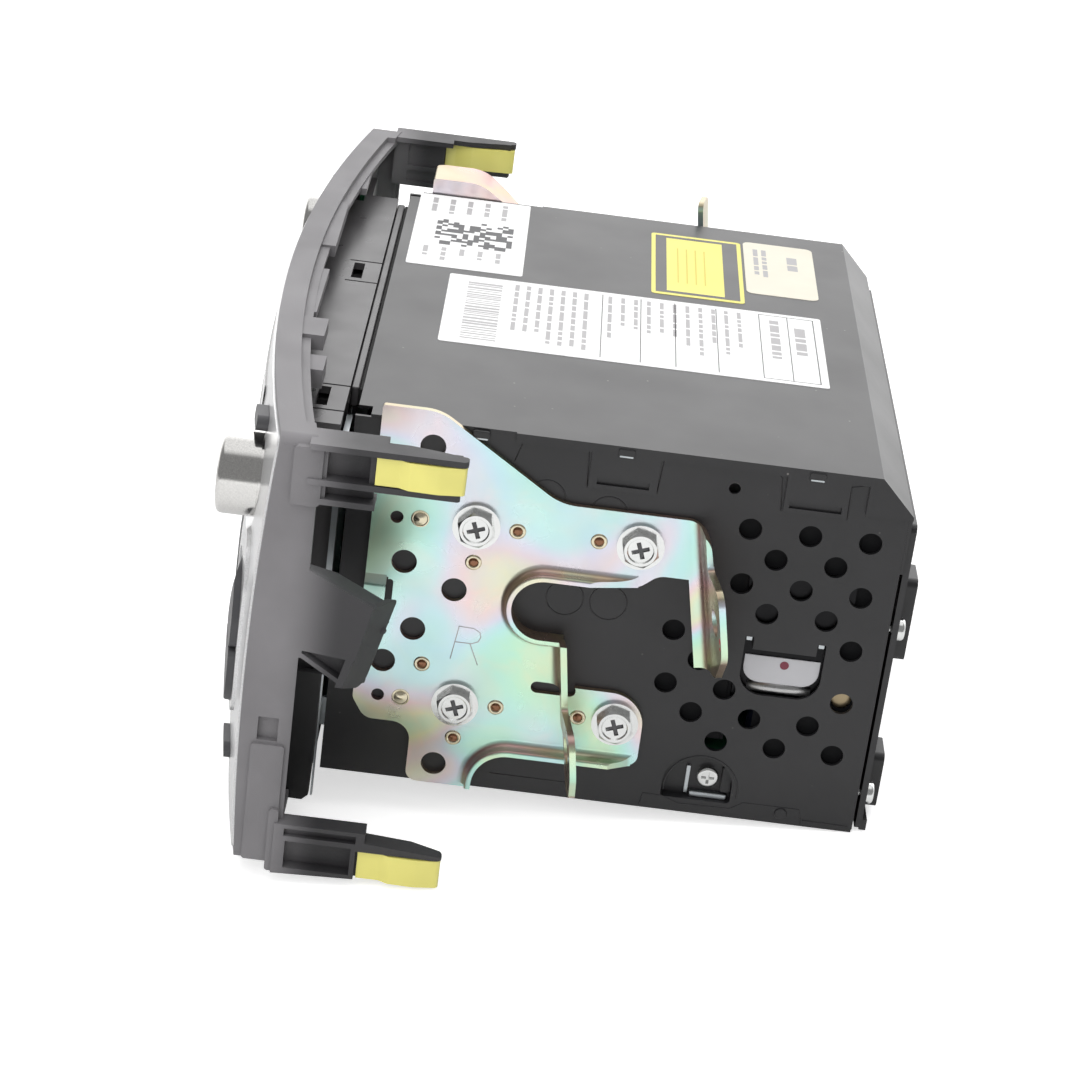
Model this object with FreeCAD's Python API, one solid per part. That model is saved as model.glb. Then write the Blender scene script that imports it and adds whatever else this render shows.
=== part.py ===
"""Car disc player: a double-height dashboard unit with its trim panel and side brackets.

All lengths are in millimetres. The model is drawn in case coordinates: X to the unit's
right, Y from the front to the rear with zero at the front edge of the top cover, and Z up
from the middle of the case. At export everything moves by one datum, the centre of the
upper mounting holes, so that the mounting interface is the origin.
"""
import FreeCAD, Part
import math
import os

V = FreeCAD.Vector
X_AXIS = V(1, 0, 0)
Y_AXIS = V(0, 1, 0)
Z_AXIS = V(0, 0, 1)

# Case: the standard double height dashboard body
CASE_WIDTH = 178.0
CASE_HEIGHT = 100.0
CASE_DEPTH = 139.4
CASE_FRONT = -0.4
SHEET = 1.0
COVER_SHEET = 0.8
COVER_CHAMFER_DEPTH = 9.0
COVER_CHAMFER_DROP = 9.3
COVER_REAR_DROP = 16.0
COVER_LIP = 2.5
COVER_TAB_DROP = 12.0
COVER_TABS = ((58.5, 75.5), (107.0, 122.8))
COVER_NOTCH = (14.0, 5.0)
COVER_CORNER_CLIP = 3.0
LATCH_SLOT = (13.0, 1.8)
REAR_FLANGE = 8.0
FIT = 0.3
TOUCH = 0.02
RUNNING = 0.05

# Vent holes in the case sides, on a staggered grid
VENT_RADIUS = 2.9
VENT_PITCH = 7.53
VENT_FIRST = (84.9, 31.9)
VENT_CELLS = (
    (2, 0), (4, 0), (6, 0), (3, 1), (5, 1), (2, 2), (4, 2), (6, 2), (3, 3), (5, 3), (0, 4),
    (6, 4), (1, 5), (0, 6), (2, 6), (6, 6), (1, 7), (3, 7), (5, 7), (2, 8), (4, 8), (6, 8),
)
SIDE_WINDOW = (103.2, 123.8, -13.6, -0.9)
SIDE_WINDOW_ROUND = 6.0
SIDE_WINDOW_NOTCH = (2.2, 3.4)
RECESS = (87.9, 106.0, -46.0, -33.4)
RECESS_ROUND = 8.0
RECESS_DEPTH = 3.0
SMALL_SIDE_HOLE = (94.5, 42.2, 1.45)

# Front plate and the plastic nose that joins the trim to the case
PLATE_HALF_WIDTH = CASE_WIDTH / 2 + 2.5
PLATE_Z = (-48.3, 40.0)
PLATE_Y = (-3.7, -2.2)
PLATE_EAR_HEIGHTS = (-38.0, -4.0, 28.0)
PLATE_EAR = (9.0, 8.0)
NOSE_HALF_WIDTH = CASE_WIDTH / 2 + 1.0
NOSE_Z = (-48.3, 46.6)
NOSE_WALL = 2.0
FLANGE_Z = (-50.5, 44.4)
FLANGE_Y = (-13.8, -12.0)
TRIM_SCREW_HEIGHTS = (34.0, -40.0)
HOOD_HALF_WIDTH = 84.0
HOOD_FRONT = -19.0
NOSE_CATCHES = ((72.5, 12.5), (-22.5, 12.5))

# Trim: a frame with a domed front, and the silver panel inlaid in it
DOME_RADIUS = 700.0
DOME_Z = -15.0
FRAME_HALF_WIDTH = 126.0
FRAME_Z = (-58.2, 57.2)
FRAME_FRONT = -30.1
FRAME_REAR = -17.6
FRAME_LEDGE_REAR = -20.0
FRAME_LEDGE = 1.6
FRAME_WALL = 3.0
FRAME_CORNER = 3.0
FRAME_EDGE = 1.5
RIM_FIT = 0.3
WEB_THICKNESS = 2.4
WEB_WINDOW = (FRAME_HALF_WIDTH - 15.2, -51.5, 52.6)
PANEL_HALF_WIDTH = FRAME_HALF_WIDTH - FRAME_EDGE - RIM_FIT
PANEL_Z = (FRAME_Z[0] + FRAME_EDGE + RIM_FIT, FRAME_Z[1] - FRAME_EDGE - RIM_FIT)
PANEL_PROUD = 0.5
PANEL_FRONT = FRAME_FRONT - PANEL_PROUD
PANEL_THICKNESS = 2.05
PANEL_CORNER = 2.4
FLANGE_HALF_WIDTH = FRAME_HALF_WIDTH - 8.0
TRIM_SCREW_X = FRAME_HALF_WIDTH - 12.0
PAD_PROUD = 1.4
UPPER_PAD = (-11.6, -4.6, 40.6, 55.6)
LOWER_PAD = (-15.6, -7.4, -57.0, -24.4)
SIDE_POCKET = (-14.4, -9.4, -23.6, -17.2)
REAR_RIB = (-9.6, -7.2, -59.0, -41.6)
SIDE_REAR = (-7.4, -5.5)
TOP_TABS = (
    (45.0, 57.5, -12.0, 52.6, 56.6), (4.0, 38.0, -15.9, 53.0, 55.4), (66.0, 76.0, -10.2, 49.6, 54.6),
    (-52.0, -13.0, -16.0, 53.0, 56.2), (-96.0, -70.0, -12.4, 53.0, 55.0),
)

# Trim arms with their spring clips
ARM_OUT = FRAME_HALF_WIDTH + 2.4
ARM_WEB = 2.2
ARM_FLANGE = 1.5
ARM_ROOT = -8.0
UPPER_ARM_END = 29.2
UPPER_ARM_Z = (46.4, 57.0)
UPPER_ARM_INNER = (FRAME_HALF_WIDTH - 7.6, 10.0, FRAME_HALF_WIDTH - 2.6)
ARM_CHANNEL = 5.0
ARM_CHANNEL_END = 6.4
LOWER_ARM_END = 34.0
LOWER_ARM_Z = (-59.2, -45.1)
LOWER_ARM_STEP = (14.6, -47.8)
LOWER_ARM_TIP = (-57.4, -49.2)
LOWER_ARM_INNER = FRAME_HALF_WIDTH - 3.0
CLIP_CROWN = 2.1
UPPER_CLIP = (7.8, 28.8)
LOWER_CLIP = (13.2, 33.6)
LOWER_CLIP_Z = (-58.2, -50.6)

# Side gusset, a hollow wedge behind the frame's side
GUSSET_TOP = (-8.4, 24.9)
GUSSET_TIP = (10.7, 15.6)
GUSSET_HEEL = (7.4, 0.7)
GUSSET_TOE = (5.4, -6.8)
GUSSET_FRONT = (-9.4, 2.4)
GUSSET_WALL = 1.6
GUSSET_EDGE = 1.1
GUSSET_DEPTH = 9.6
GUSSET_END_SLOPE = (0.57, -0.25)
GUSSET_END_Z = (-11.0, -6.9, 15.1, 14.5)
GUSSET_RIDGE_SLOPE = 0.14
GUSSET_NUB = (6.0, 1.0)

# Mounting brackets
BRACKET_SHEET = 1.6
BRACKET_HOLE = 3.2
BRACKET_HOLES = (
    (19.5, 44.1), (15.5, 12.2), (28.7, 6.1), (19.5, -6.1), (12.8, -16.0), (28.7, -43.8),
)
BRACKET_PIN_HOLE = 1.65
FRONT_TAB_RISE = 1.3
BRACKET_PIN_HOLES = ((12.5, 24.1), (12.5, -25.9))
BRACKET_SCREWS = ((32.4, 24.4), (32.4, -25.6), (73.5, 24.4), (73.5, -25.6))
BRACKET_SLOT = (51.0, 62.5, -18.3, 1.6)
LIP_REACH = 3.4
LIP_COVE = 2.0
LIP_ROUND = 0.8
CUT_ROUND = 8.1
MOUNT_HOLE = 3.5
MOUNT_X = CASE_WIDTH / 2 + 14.5
UPPER_FLANGE_Y = 93.6
UPPER_HOLE_Z = 12.0
UPPER_LEAN = 11.0
UPPER_BEND = 3.4
UPPER_SWEEP = 10.0
LOWER_FLANGE_Y = 61.6
LOWER_HOLE_Z = -28.5
LOWER_LEAN = 8.0
LOWER_BEND = 3.0
LOWER_SWEEP = 9.0
TONGUE_TOP = 16.8
ARM_TOP = 32.9
LOWER_TOP = -3.4
ROOT_BOTTOM = -16.7
DATUM = V(0, UPPER_FLANGE_Y, UPPER_HOLE_Z)

# Bracket screws: hexagon with a flange
SCREW_SHANK = 2.4
SCREW_HOLE = 2.6
SCREW_FLANGE = 6.0
SCREW_FLANGE_THICK = 1.2
SCREW_HEX = 4.9
SCREW_HEAD = 3.4
SCREW_DISH = 3.4
SCREW_DISH_DEPTH = 0.45
SCREW_REACH = 4.0

# Front controls
SLOT_Z = 38.1
SLOT_HEIGHT = 5.4
SLOT_HALF_WIDTH = 62.5
LENS_HALF_WIDTH = 72.0
LENS_Z = (2.0, 46.0)
LENS_FRONT = PANEL_FRONT - 0.4
LENS_LEDGE = PANEL_FRONT + 1.2
KNOB_X = 95.0
KNOB_Z = 33.4
KNOB_RADIUS = 11.0
KNOB_FRONT = -31.6
KNOB_BACK = -19.8
KNOB_GAP = 0.6
DISH_RADIUS = 14.6
WELL_WALL = 1.6
KNOB_BORE = 3.0
KNOB_PUSH = 0.5
PRESET_SIZE = (44.0, 13.0)
PRESET_PITCH = (47.0, 16.0)
PRESET_TOP = -9.5
CLUSTER_X = 95.0
CLUSTER_Z = -8.5
CLUSTER_HALF = (15.0, 19.2)
CLUSTER_PROUD = 2.7
CLUSTER_GAP = 1.0
CLUSTER_RIM = 2.0
CLUSTER_RIM_PROUD = 0.9
SIDE_BUTTON_SIZE = (13.0, 4.4)
TOP_BUTTON_Z = 48.4
TOP_BUTTON_SIZE = (10.0, 4.0)
LOW_BUTTON_Z = -42.0
BUTTON_PROUD = 1.0
SIDE_BUTTON_PROUD = 1.7
TOP_BUTTON_PROUD = 2.9
BUTTON_TRAVEL = 0.8
SWITCH_HEIGHT = 1.6
BOARD_THICKNESS = 1.6
BOARD_FRONT = FLANGE_Y[0] - TOUCH - BOARD_THICKNESS
BOARD_HALF_WIDTH = FLANGE_HALF_WIDTH - 9.5
BOARD_Z = (-49.5, 43.8)

# Disc deck
DECK_HALF_WIDTH = CASE_WIDTH / 2 - 6.0
DECK_Y = (3.0, 129.0)
DECK_Z = (20.0, 47.5)
DECK_SHEET = 1.0
SPINDLE = (0.0, 72.0)
DISC_PLANE = 37.0
CARRIER_Z = 27.0
CARRIER_SHEET = 1.2
ROLLER_Y = 8.0
ROLLER_RADIUS = 3.2
ROLLER_Z = DISC_PLANE - ROLLER_RADIUS - 0.1
GEAR_MODULE = 1.0
GEAR_THICK = 2.4
ROLLER_TEETH = 12
IDLER_TEETH = 18
PINION_TEETH = 8
IDLER_ANGLE = -28.0
PINION_ANGLE = -5.0
ROD_RADIUS = 1.5
ROD_Z = 31.6
ROD_OFFSET = 18.0
SLED_X = (14.5, 40.5)
SLED_TRAVEL = 34.0
SCREW_Y = 47.0
SCREW_RADIUS = 2.0
BUSH_RADIUS = 4.5
CLAMP_PIVOT = (116.0, 43.4)

# Electronics
MAIN_BOARD_Z = -36.0
MAIN_BOARD_Y = (8.0, 134.0)
MAIN_BOARD_HALF_WIDTH = CASE_WIDTH / 2 - 5.0
REAR_Y = (139.4, 141.0)
SINK_X = (6.0, 58.0)
REAR_PAD_X = (68.0, 80.0)
REAR_PAD_Z = ((-3.7, 19.2), (-47.0, -31.4))
REAR_PAD_PROUD = 4.1
REAR_SCREW_Z = (7.8, -39.8)
SOCKET_X = (-62.0, -4.0)
SOCKET_Z = (-32.0, -8.0)
SOCKET_FLOOR = 6.0
SOCKET_DIVIDER = (-36.0, -34.4)
AERIAL = (-69.0, 12.0)

NODES = {}


def box(x, y, z):
    """A block between the two values of each of x, y and z."""
    low = V(min(x), min(y), min(z))
    return Part.makeBox(max(x) - low.x, max(y) - low.y, max(z) - low.z, low)


def rod(radius, start, end):
    """A round bar of a radius from one point to another."""
    line = V(*end) - V(*start)
    return Part.makeCylinder(radius, line.Length, V(*start), line)


def fused(shapes):
    """One solid from several that meet."""
    first, rest = shapes[0], list(shapes[1:])
    whole = first.fuse(rest) if rest else first
    return whole.removeSplitter()


def grouped(shapes):
    """Separate solids that share a node."""
    return Part.makeCompound(list(shapes))


def mirrored(shape):
    """The same shape on the other side of the unit."""
    return shape.mirror(V(0, 0, 0), X_AXIS)


def outline(corners):
    """A closed wire through corners (a, b, radius), rounded where the radius isn't zero."""
    count = len(corners)
    edges = []
    ends = []
    for index, (a, b, radius) in enumerate(corners):
        here = V(a, b, 0)
        before = V(corners[index - 1][0], corners[index - 1][1], 0)
        after = V(corners[(index + 1) % count][0], corners[(index + 1) % count][1], 0)
        to_before = (before - here).normalize()
        to_after = (after - here).normalize()
        if radius <= 0:
            ends.append((here, here, None))
            continue
        half = to_before.getAngle(to_after) / 2
        reach = radius / math.tan(half)
        bisector = (to_before + to_after).normalize()
        middle = here + bisector * (radius / math.sin(half) - radius)
        ends.append((here + to_before * reach, here + to_after * reach, middle))
    for index, (start, end, middle) in enumerate(ends):
        if middle is not None:
            edges.append(Part.Arc(start, middle, end).toShape())
        following = ends[(index + 1) % count][0]
        if (following - end).Length > 1e-6:
            edges.append(Part.LineSegment(end, following).toShape())
    return Part.Wire(edges)


def prism_x(corners, x):
    """A prism along X whose outline is given in (y, z)."""
    face = Part.Face(outline(corners))
    face.rotate(V(0, 0, 0), V(1, 1, 1), 120)
    face.translate(V(min(x), 0, 0))
    return face.extrude(V(max(x) - min(x), 0, 0))


def prism_y(corners, y):
    """A prism along Y whose outline is given in (x, z)."""
    face = Part.Face(outline(corners))
    face.rotate(V(0, 0, 0), X_AXIS, 90)
    face.translate(V(0, min(y), 0))
    return face.extrude(V(0, max(y) - min(y), 0))


def prism_z(corners, z):
    """A prism along Z whose outline is given in (x, y)."""
    face = Part.Face(outline(corners))
    face.translate(V(0, 0, min(z)))
    return face.extrude(V(0, 0, max(z) - min(z)))


def rounded(a, b, radius):
    """The corners of a rounded rectangle."""
    low_a, high_a, low_b, high_b = min(a), max(a), min(b), max(b)
    return (
        (low_a, low_b, radius), (high_a, low_b, radius),
        (high_a, high_b, radius), (low_a, high_b, radius),
    )


def bow(front):
    """The domed body behind a front surface whose foremost point lies at the given Y."""
    return Part.makeSphere(DOME_RADIUS, V(0, front + DOME_RADIUS, DOME_Z), Y_AXIS * -1, -90, 90, 360)


def bow_y(front, x, z=DOME_Z):
    """The Y of a domed surface at a given X and Z."""
    return front + DOME_RADIUS - math.sqrt(DOME_RADIUS ** 2 - x ** 2 - (z - DOME_Z) ** 2)


def rear_bow(rear):
    """The body behind the trim's rear edge, which is curved in plan alone."""
    height = 2 * CASE_HEIGHT
    return Part.makeCylinder(DOME_RADIUS, height, V(0, rear + DOME_RADIUS, -height / 2))


def rear_y(rear, x):
    """The Y of a surface that is curved in plan alone."""
    return rear + DOME_RADIUS - math.sqrt(DOME_RADIUS ** 2 - x ** 2)


def between_bows(shape, front, back):
    """The part of a shape between two domed surfaces."""
    return shape.common(bow(front)).cut(bow(back))


def vent_places():
    """The (y, z) centres of the vent holes."""
    first_y, first_z = VENT_FIRST
    return [(first_y + i * VENT_PITCH, first_z - j * VENT_PITCH) for i, j in VENT_CELLS]


def recess_outline(grow):
    """The dome-topped recess low in the case side, grown on every side."""
    y0, y1, z0, z1 = RECESS
    return (
        (y0 - grow, z0 - grow, 1.0), (y1 + grow, z0 - grow, 1.0),
        (y1 + grow, z1 + grow, RECESS_ROUND), (y0 - grow, z1 + grow, RECESS_ROUND),
    )


def side_cuts(side):
    """All holes through one side wall of the case."""
    half = CASE_WIDTH / 2
    wall = (side * (half - SHEET - 1), side * (half + 1))
    start, end = wall[0], wall[1]
    cuts = [rod(VENT_RADIUS, (start, y, z), (end, y, z)) for y, z in vent_places()]
    y, z, radius = SMALL_SIDE_HOLE
    cuts.append(rod(radius, (start, y, z), (end, y, z)))
    cuts += [rod(SCREW_HOLE, (start, y, z), (end, y, z)) for y, z in BRACKET_SCREWS]
    if side > 0:
        y0, y1, z0, z1 = SIDE_WINDOW
        window = (
            (y0, z0, SIDE_WINDOW_ROUND), (y1, z0, SIDE_WINDOW_ROUND), (y1, z1, 0), (y0, z1, 0),
        )
        cuts.append(prism_x(window, wall))
        wide, tall = SIDE_WINDOW_NOTCH
        for low in (y0, y1 - wide):
            cuts.append(box(wall, (low, low + wide), (z1 - 0.1, z1 + tall)))
        cuts.append(prism_x(recess_outline(0), wall))
    return cuts


def case_profile(x, inset):
    """The case's side outline with the sloped rear corner, inset from every face."""
    half = CASE_HEIGHT / 2
    low = -half + inset
    high = half - inset
    back = CASE_DEPTH - inset
    slope_y = CASE_DEPTH - COVER_CHAMFER_DEPTH
    slope_z = half - COVER_CHAMFER_DROP
    shift = inset * math.tan(math.radians(22.5))
    corners = (
        (CASE_FRONT, low, 0), (back, low, 0), (back, slope_z - shift, 0),
        (slope_y - shift, high, 0), (CASE_FRONT, high, 0),
    )
    return prism_x(corners, x)


def chassis():
    """Side walls, floor, rear flanges and board posts, folded from one sheet."""
    half = CASE_WIDTH / 2
    body = case_profile((-half, half), COVER_SHEET + TOUCH)
    floor_z = -CASE_HEIGHT / 2
    body = body.fuse(box((-half, half), (CASE_FRONT, CASE_DEPTH - 1.0), (floor_z, floor_z + 2)))
    inner = box((-half + SHEET, half - SHEET), (-5, CASE_DEPTH + 5), (floor_z + SHEET, 60))
    body = body.cut(inner)
    back = (CASE_DEPTH - 2 * SHEET, CASE_DEPTH - SHEET)
    flange_top = CASE_HEIGHT / 2 - COVER_REAR_DROP - COVER_CHAMFER_DROP
    pieces = [body]
    for side in (-1, 1):
        x = (side * half, side * (half - REAR_FLANGE))
        pieces.append(box(x, back, (floor_z, flange_top)))
    pieces.append(box((-half, half), back, (floor_z, floor_z + REAR_FLANGE)))
    for x in (-MAIN_BOARD_HALF_WIDTH + 6, MAIN_BOARD_HALF_WIDTH - 6):
        for y in (MAIN_BOARD_Y[0] + 6, MAIN_BOARD_Y[1] - 12):
            pieces.append(rod(3.0, (x, y, floor_z), (x, y, MAIN_BOARD_Z - TOUCH)))
    inner_x = half - RECESS_DEPTH
    cup = prism_x(recess_outline(SHEET), (inner_x - SHEET, half - TOUCH))
    pieces.append(cup)
    whole = fused(pieces)
    whole = whole.cut(prism_x(recess_outline(0), (inner_x, half + 1)))
    recess_y = (RECESS[0] + RECESS[1]) / 2
    whole = whole.cut(rod(1.6, (inner_x - 3, recess_y + 2.6, -39.8), (inner_x + 1, recess_y + 2.6, -39.8)))
    cuts = side_cuts(1)[:-1] + side_cuts(-1)
    for z in REAR_SCREW_Z:
        for side in (-1, 1):
            x = side * (half - REAR_FLANGE / 2)
            cuts.append(rod(1.3, (x, CASE_DEPTH - 5, z), (x, CASE_DEPTH + 2, z)))
    return whole.cut(cuts)


def top_cover():
    """The lid: top sheet, sloped rear corner, rear skirt, side lips and latch tabs."""
    half = CASE_WIDTH / 2
    outer = case_profile((-half - COVER_SHEET, half + COVER_SHEET), 0)
    inner = case_profile((-half, half), COVER_SHEET)
    shell = outer.cut(inner)
    top = CASE_HEIGHT / 2
    slope_low = top - COVER_CHAMFER_DROP
    wide_x = (-half - 10, half + 10)
    end_y = CASE_DEPTH + 20
    keep = [box(wide_x, (0, end_y), (top - COVER_LIP, top + 1))]
    keep.append(box(wide_x, (CASE_DEPTH - COVER_CHAMFER_DEPTH - 3, end_y), (slope_low - 1, top)))
    keep.append(box((-half, half), (CASE_DEPTH - 3, end_y), (slope_low - COVER_REAR_DROP, top)))
    for y0, y1 in COVER_TABS:
        keep.append(box(wide_x, (y0, y1), (top - COVER_TAB_DROP, top)))
    cover = shell.common(keep[0].fuse(keep[1:]))
    cuts = []
    deep, wide = COVER_NOTCH
    for side in (-1, 1):
        edge = side * (half + 2)
        cuts.append(box((edge, side * half), (-1, 39.5), (top - 6, top + 1)))
        cuts.append(box((side * (half - wide), edge), (-1, 3.5), (top - 6, top + 1)))
        for y0, y1 in COVER_TABS:
            middle = (y0 + y1) / 2
            long, high = LATCH_SLOT
            low = top - COVER_TAB_DROP + 1.2
            y = (middle - long / 2, middle + long / 2)
            cuts.append(box((edge, side * (half - 0.1)), y, (low, low + high)))
    clip = ((-half - 2, -1, 0), (-half + COVER_CORNER_CLIP + deep / 7, -1, 0), (-half - 2, 4, 0))
    cuts.append(prism_z(clip, (top - 5, top + 1)))
    return cover.cut(cuts)


def rear_panel():
    """The back sheet with its openings, two pressed pads and a foot."""
    half = CASE_WIDTH / 2
    low = -CASE_HEIGHT / 2 + 0.6
    high = CASE_HEIGHT / 2 - COVER_CHAMFER_DROP - 3.0
    y0, y1 = REAR_Y
    sheet = prism_y(rounded((-half + 0.6, half - 0.6), (low, high), 2.0), (y0 + TOUCH, y1))
    stiff = [sheet]
    for z in REAR_PAD_Z:
        stiff.append(prism_y(rounded(REAR_PAD_X, z, 2.0), (y1 - 0.5, y1 + REAR_PAD_PROUD)))
    upper = (REAR_PAD_Z[0][1] - 1, REAR_PAD_Z[0][1] + 5.5)
    stiff.append(prism_y(rounded((REAR_PAD_X[0] + 3, REAR_PAD_X[1]), upper, 1.0), (y1 - 0.5, y1 + 1.2)))
    for side in (-1, 1):
        foot_x = (side * (half - 10), side * (half - 1))
        stiff.append(box(foot_x, (y1 - 0.5, y1 + 1.3), (low, low + 3.0)))
    panel = fused(stiff)
    cuts = [box(SOCKET_X, (y0 - 1, y1 + 3), SOCKET_Z)]
    cuts.append(rod(6.3, (AERIAL[0], y0 - 1, AERIAL[1]), (AERIAL[0], y1 + 3, AERIAL[1])))
    for z in REAR_SCREW_Z:
        for side in (-1, 1):
            x = side * (half - REAR_FLANGE / 2)
            cuts.append(rod(1.6, (x, y0 - 2, z), (x, y1 + 3, z)))
    for x in range(-56, 8, 6):
        cuts.append(box((x, x + 3), (y0 - 1, y1 + 3), (18, 30)))
    return panel.cut(cuts)


def heat_sink():
    """Finned casting on the back, over the output chip."""
    x0, x1 = SINK_X
    back = REAR_Y[1] + TOUCH
    base = prism_y(rounded((x0, x1), (-46.0, 24.6), 2.0), (back, back + 1.6))
    pieces = [base]
    for fin in range(8):
        x = x0 + 4 + fin * 5.6
        pieces.append(box((x, x + 1.8), (back, back + 4.4), (-43.0, 21.6)))
    return fused(pieces)


def connector_block():
    """The multi-pin socket: an open shroud with two chambers."""
    x0, x1 = SOCKET_X
    z0, z1 = SOCKET_Z
    y = (REAR_Y[0] - 11.4, REAR_Y[1] + 6.0)
    shroud = box((x0 + FIT, x1 - FIT), y, (z0 + FIT, z1 - FIT))
    wall = 1.6
    chambers = box((x0 + wall, x1 - wall), (y[0] + SOCKET_FLOOR, y[1] + 1), (z0 + wall, z1 - wall))
    divider = box(SOCKET_DIVIDER, (y[0] + SOCKET_FLOOR - 1, y[1] - 1), (z0 + 1, z1 - 1))
    leg = box((x0 + 3, x1 - 3), (y[0], y[0] + 3.0), (MAIN_BOARD_Z + BOARD_THICKNESS + TOUCH, z0 + 1))
    return fused([shroud.cut(chambers), divider, leg])


def connector_pins():
    """The socket's square contact pins in two rows."""
    x0, x1 = SOCKET_X
    z0, z1 = SOCKET_Z
    foot = REAR_Y[0] - 11.4 + SOCKET_FLOOR + TOUCH
    found = []
    for column in range(10):
        x = x0 + 5.0 + column * 5.2
        if SOCKET_DIVIDER[0] - 2.5 < x < SOCKET_DIVIDER[1] + 2.0:
            continue
        for z in (z0 + 7.0, z1 - 7.0):
            found.append(box((x - 0.5, x + 0.5), (foot, REAR_Y[1] + 2.0), (z - 0.5, z + 0.5)))
    return grouped(found)


def antenna_socket():
    """The aerial socket, a flanged tube through the back."""
    x, z = AERIAL
    end = REAR_Y[1] + 7.0
    body = rod(6.0, (x, end - 22.0, z), (x, end, z))
    body = body.fuse(rod(8.0, (x, REAR_Y[1] + TOUCH, z), (x, REAR_Y[1] + 1.6, z)))
    bore = rod(4.2, (x, end - 18.0, z), (x, end + 1.0, z))
    pin = rod(1.2, (x, end - 19.0, z), (x, end - 4.0, z))
    return body.cut(bore).fuse(pin).removeSplitter()


def front_plate():
    """Bright steel plate across the front of the case, with ears inside the side walls."""
    y0, y1 = PLATE_Y
    plate = prism_y(rounded((-PLATE_HALF_WIDTH, PLATE_HALF_WIDTH), PLATE_Z, 1.5), (y0, y1))
    ear_deep, ear_high = PLATE_EAR
    inside = CASE_WIDTH / 2 - SHEET
    pieces = [plate]
    for side in (-1, 1):
        x = (side * (inside - TOUCH), side * (inside - TOUCH - SHEET))
        for z in PLATE_EAR_HEIGHTS:
            pieces.append(box(x, (y1 - 0.5, y1 + ear_deep), (z, z + ear_high)))
    whole = fused(pieces)
    slot_z = (SLOT_Z - SLOT_HEIGHT / 2 - 1.0, PLATE_Z[1] + 1)
    cuts = [box((-67, 67), (y0 - 1, y1 + 1), slot_z)]
    cuts.append(prism_y(rounded((-60, 60), (-40, 12), 4.0), (y0 - 1, y1 + 1)))
    return whole.cut(cuts)


def nose_catch(x, wide):
    """The slits and window that free one spring catch in the nose's top."""
    z = (NOSE_Z[1] - NOSE_WALL - 1, NOSE_Z[1] + 1)
    back = PLATE_Y[0]
    cuts = [box((x - wide / 2, x + wide / 2), (back - 7.6, back - 4.6), z)]
    for side in (-1, 1):
        edge = x + side * (wide / 2 + 2.2)
        cuts.append(box((edge, edge + 0.8), (back - 9.0, back + 1), z))
    return cuts


def nose_housing():
    """Black nose: walls in front of the case, the board flange, the hood and the disc duct."""
    back = PLATE_Y[0] - TOUCH
    walls = box((-NOSE_HALF_WIDTH, NOSE_HALF_WIDTH), (FLANGE_Y[0], back), NOSE_Z)
    inside_z = (NOSE_Z[0] + NOSE_WALL, NOSE_Z[1] - NOSE_WALL)
    inside_x = NOSE_HALF_WIDTH - NOSE_WALL
    walls = walls.cut(box((-inside_x, inside_x), (FLANGE_Y[0] - 1, back + 1), inside_z))
    flange_x = (-FLANGE_HALF_WIDTH, FLANGE_HALF_WIDTH)
    flange = prism_y(rounded(flange_x, FLANGE_Z, 4.0), FLANGE_Y)
    flange = flange.cut(box((-56, 56), (-30, 0), (-38, 30)))
    hood_z = (NOSE_Z[1] - NOSE_WALL, NOSE_Z[1])
    hood = box((-HOOD_HALF_WIDTH, HOOD_HALF_WIDTH), (HOOD_FRONT, FLANGE_Y[1]), hood_z)
    duct_z = (SLOT_Z - SLOT_HEIGHT / 2 - 1.4, SLOT_Z + SLOT_HEIGHT / 2 + 1.4)
    duct_x = SLOT_HALF_WIDTH + 2.0
    duct = box((-duct_x, duct_x), (-45, back), duct_z).common(bow(LENS_LEDGE + FIT))
    whole = fused([walls, flange, hood, duct])
    cuts = [slot_space(-45, back + 1)]
    for side in (-1, 1):
        for z in TRIM_SCREW_HEIGHTS:
            x = side * TRIM_SCREW_X
            cuts.append(rod(1.4, (x, -24, z), (x, 0, z)))
        x = side * KNOB_X
        cuts.append(box((x - 7.0, x + 7.0), (-20, -10), (KNOB_Z - 7.0, KNOB_Z + 7.0)))
    for x, wide in NOSE_CATCHES:
        cuts += nose_catch(x, wide)
    return whole.cut(cuts)


def slot_space(front, back):
    """The passage that the disc goes through."""
    z = (SLOT_Z - SLOT_HEIGHT / 2, SLOT_Z + SLOT_HEIGHT / 2)
    return box((-SLOT_HALF_WIDTH, SLOT_HALF_WIDTH), (front, back), z)


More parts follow.
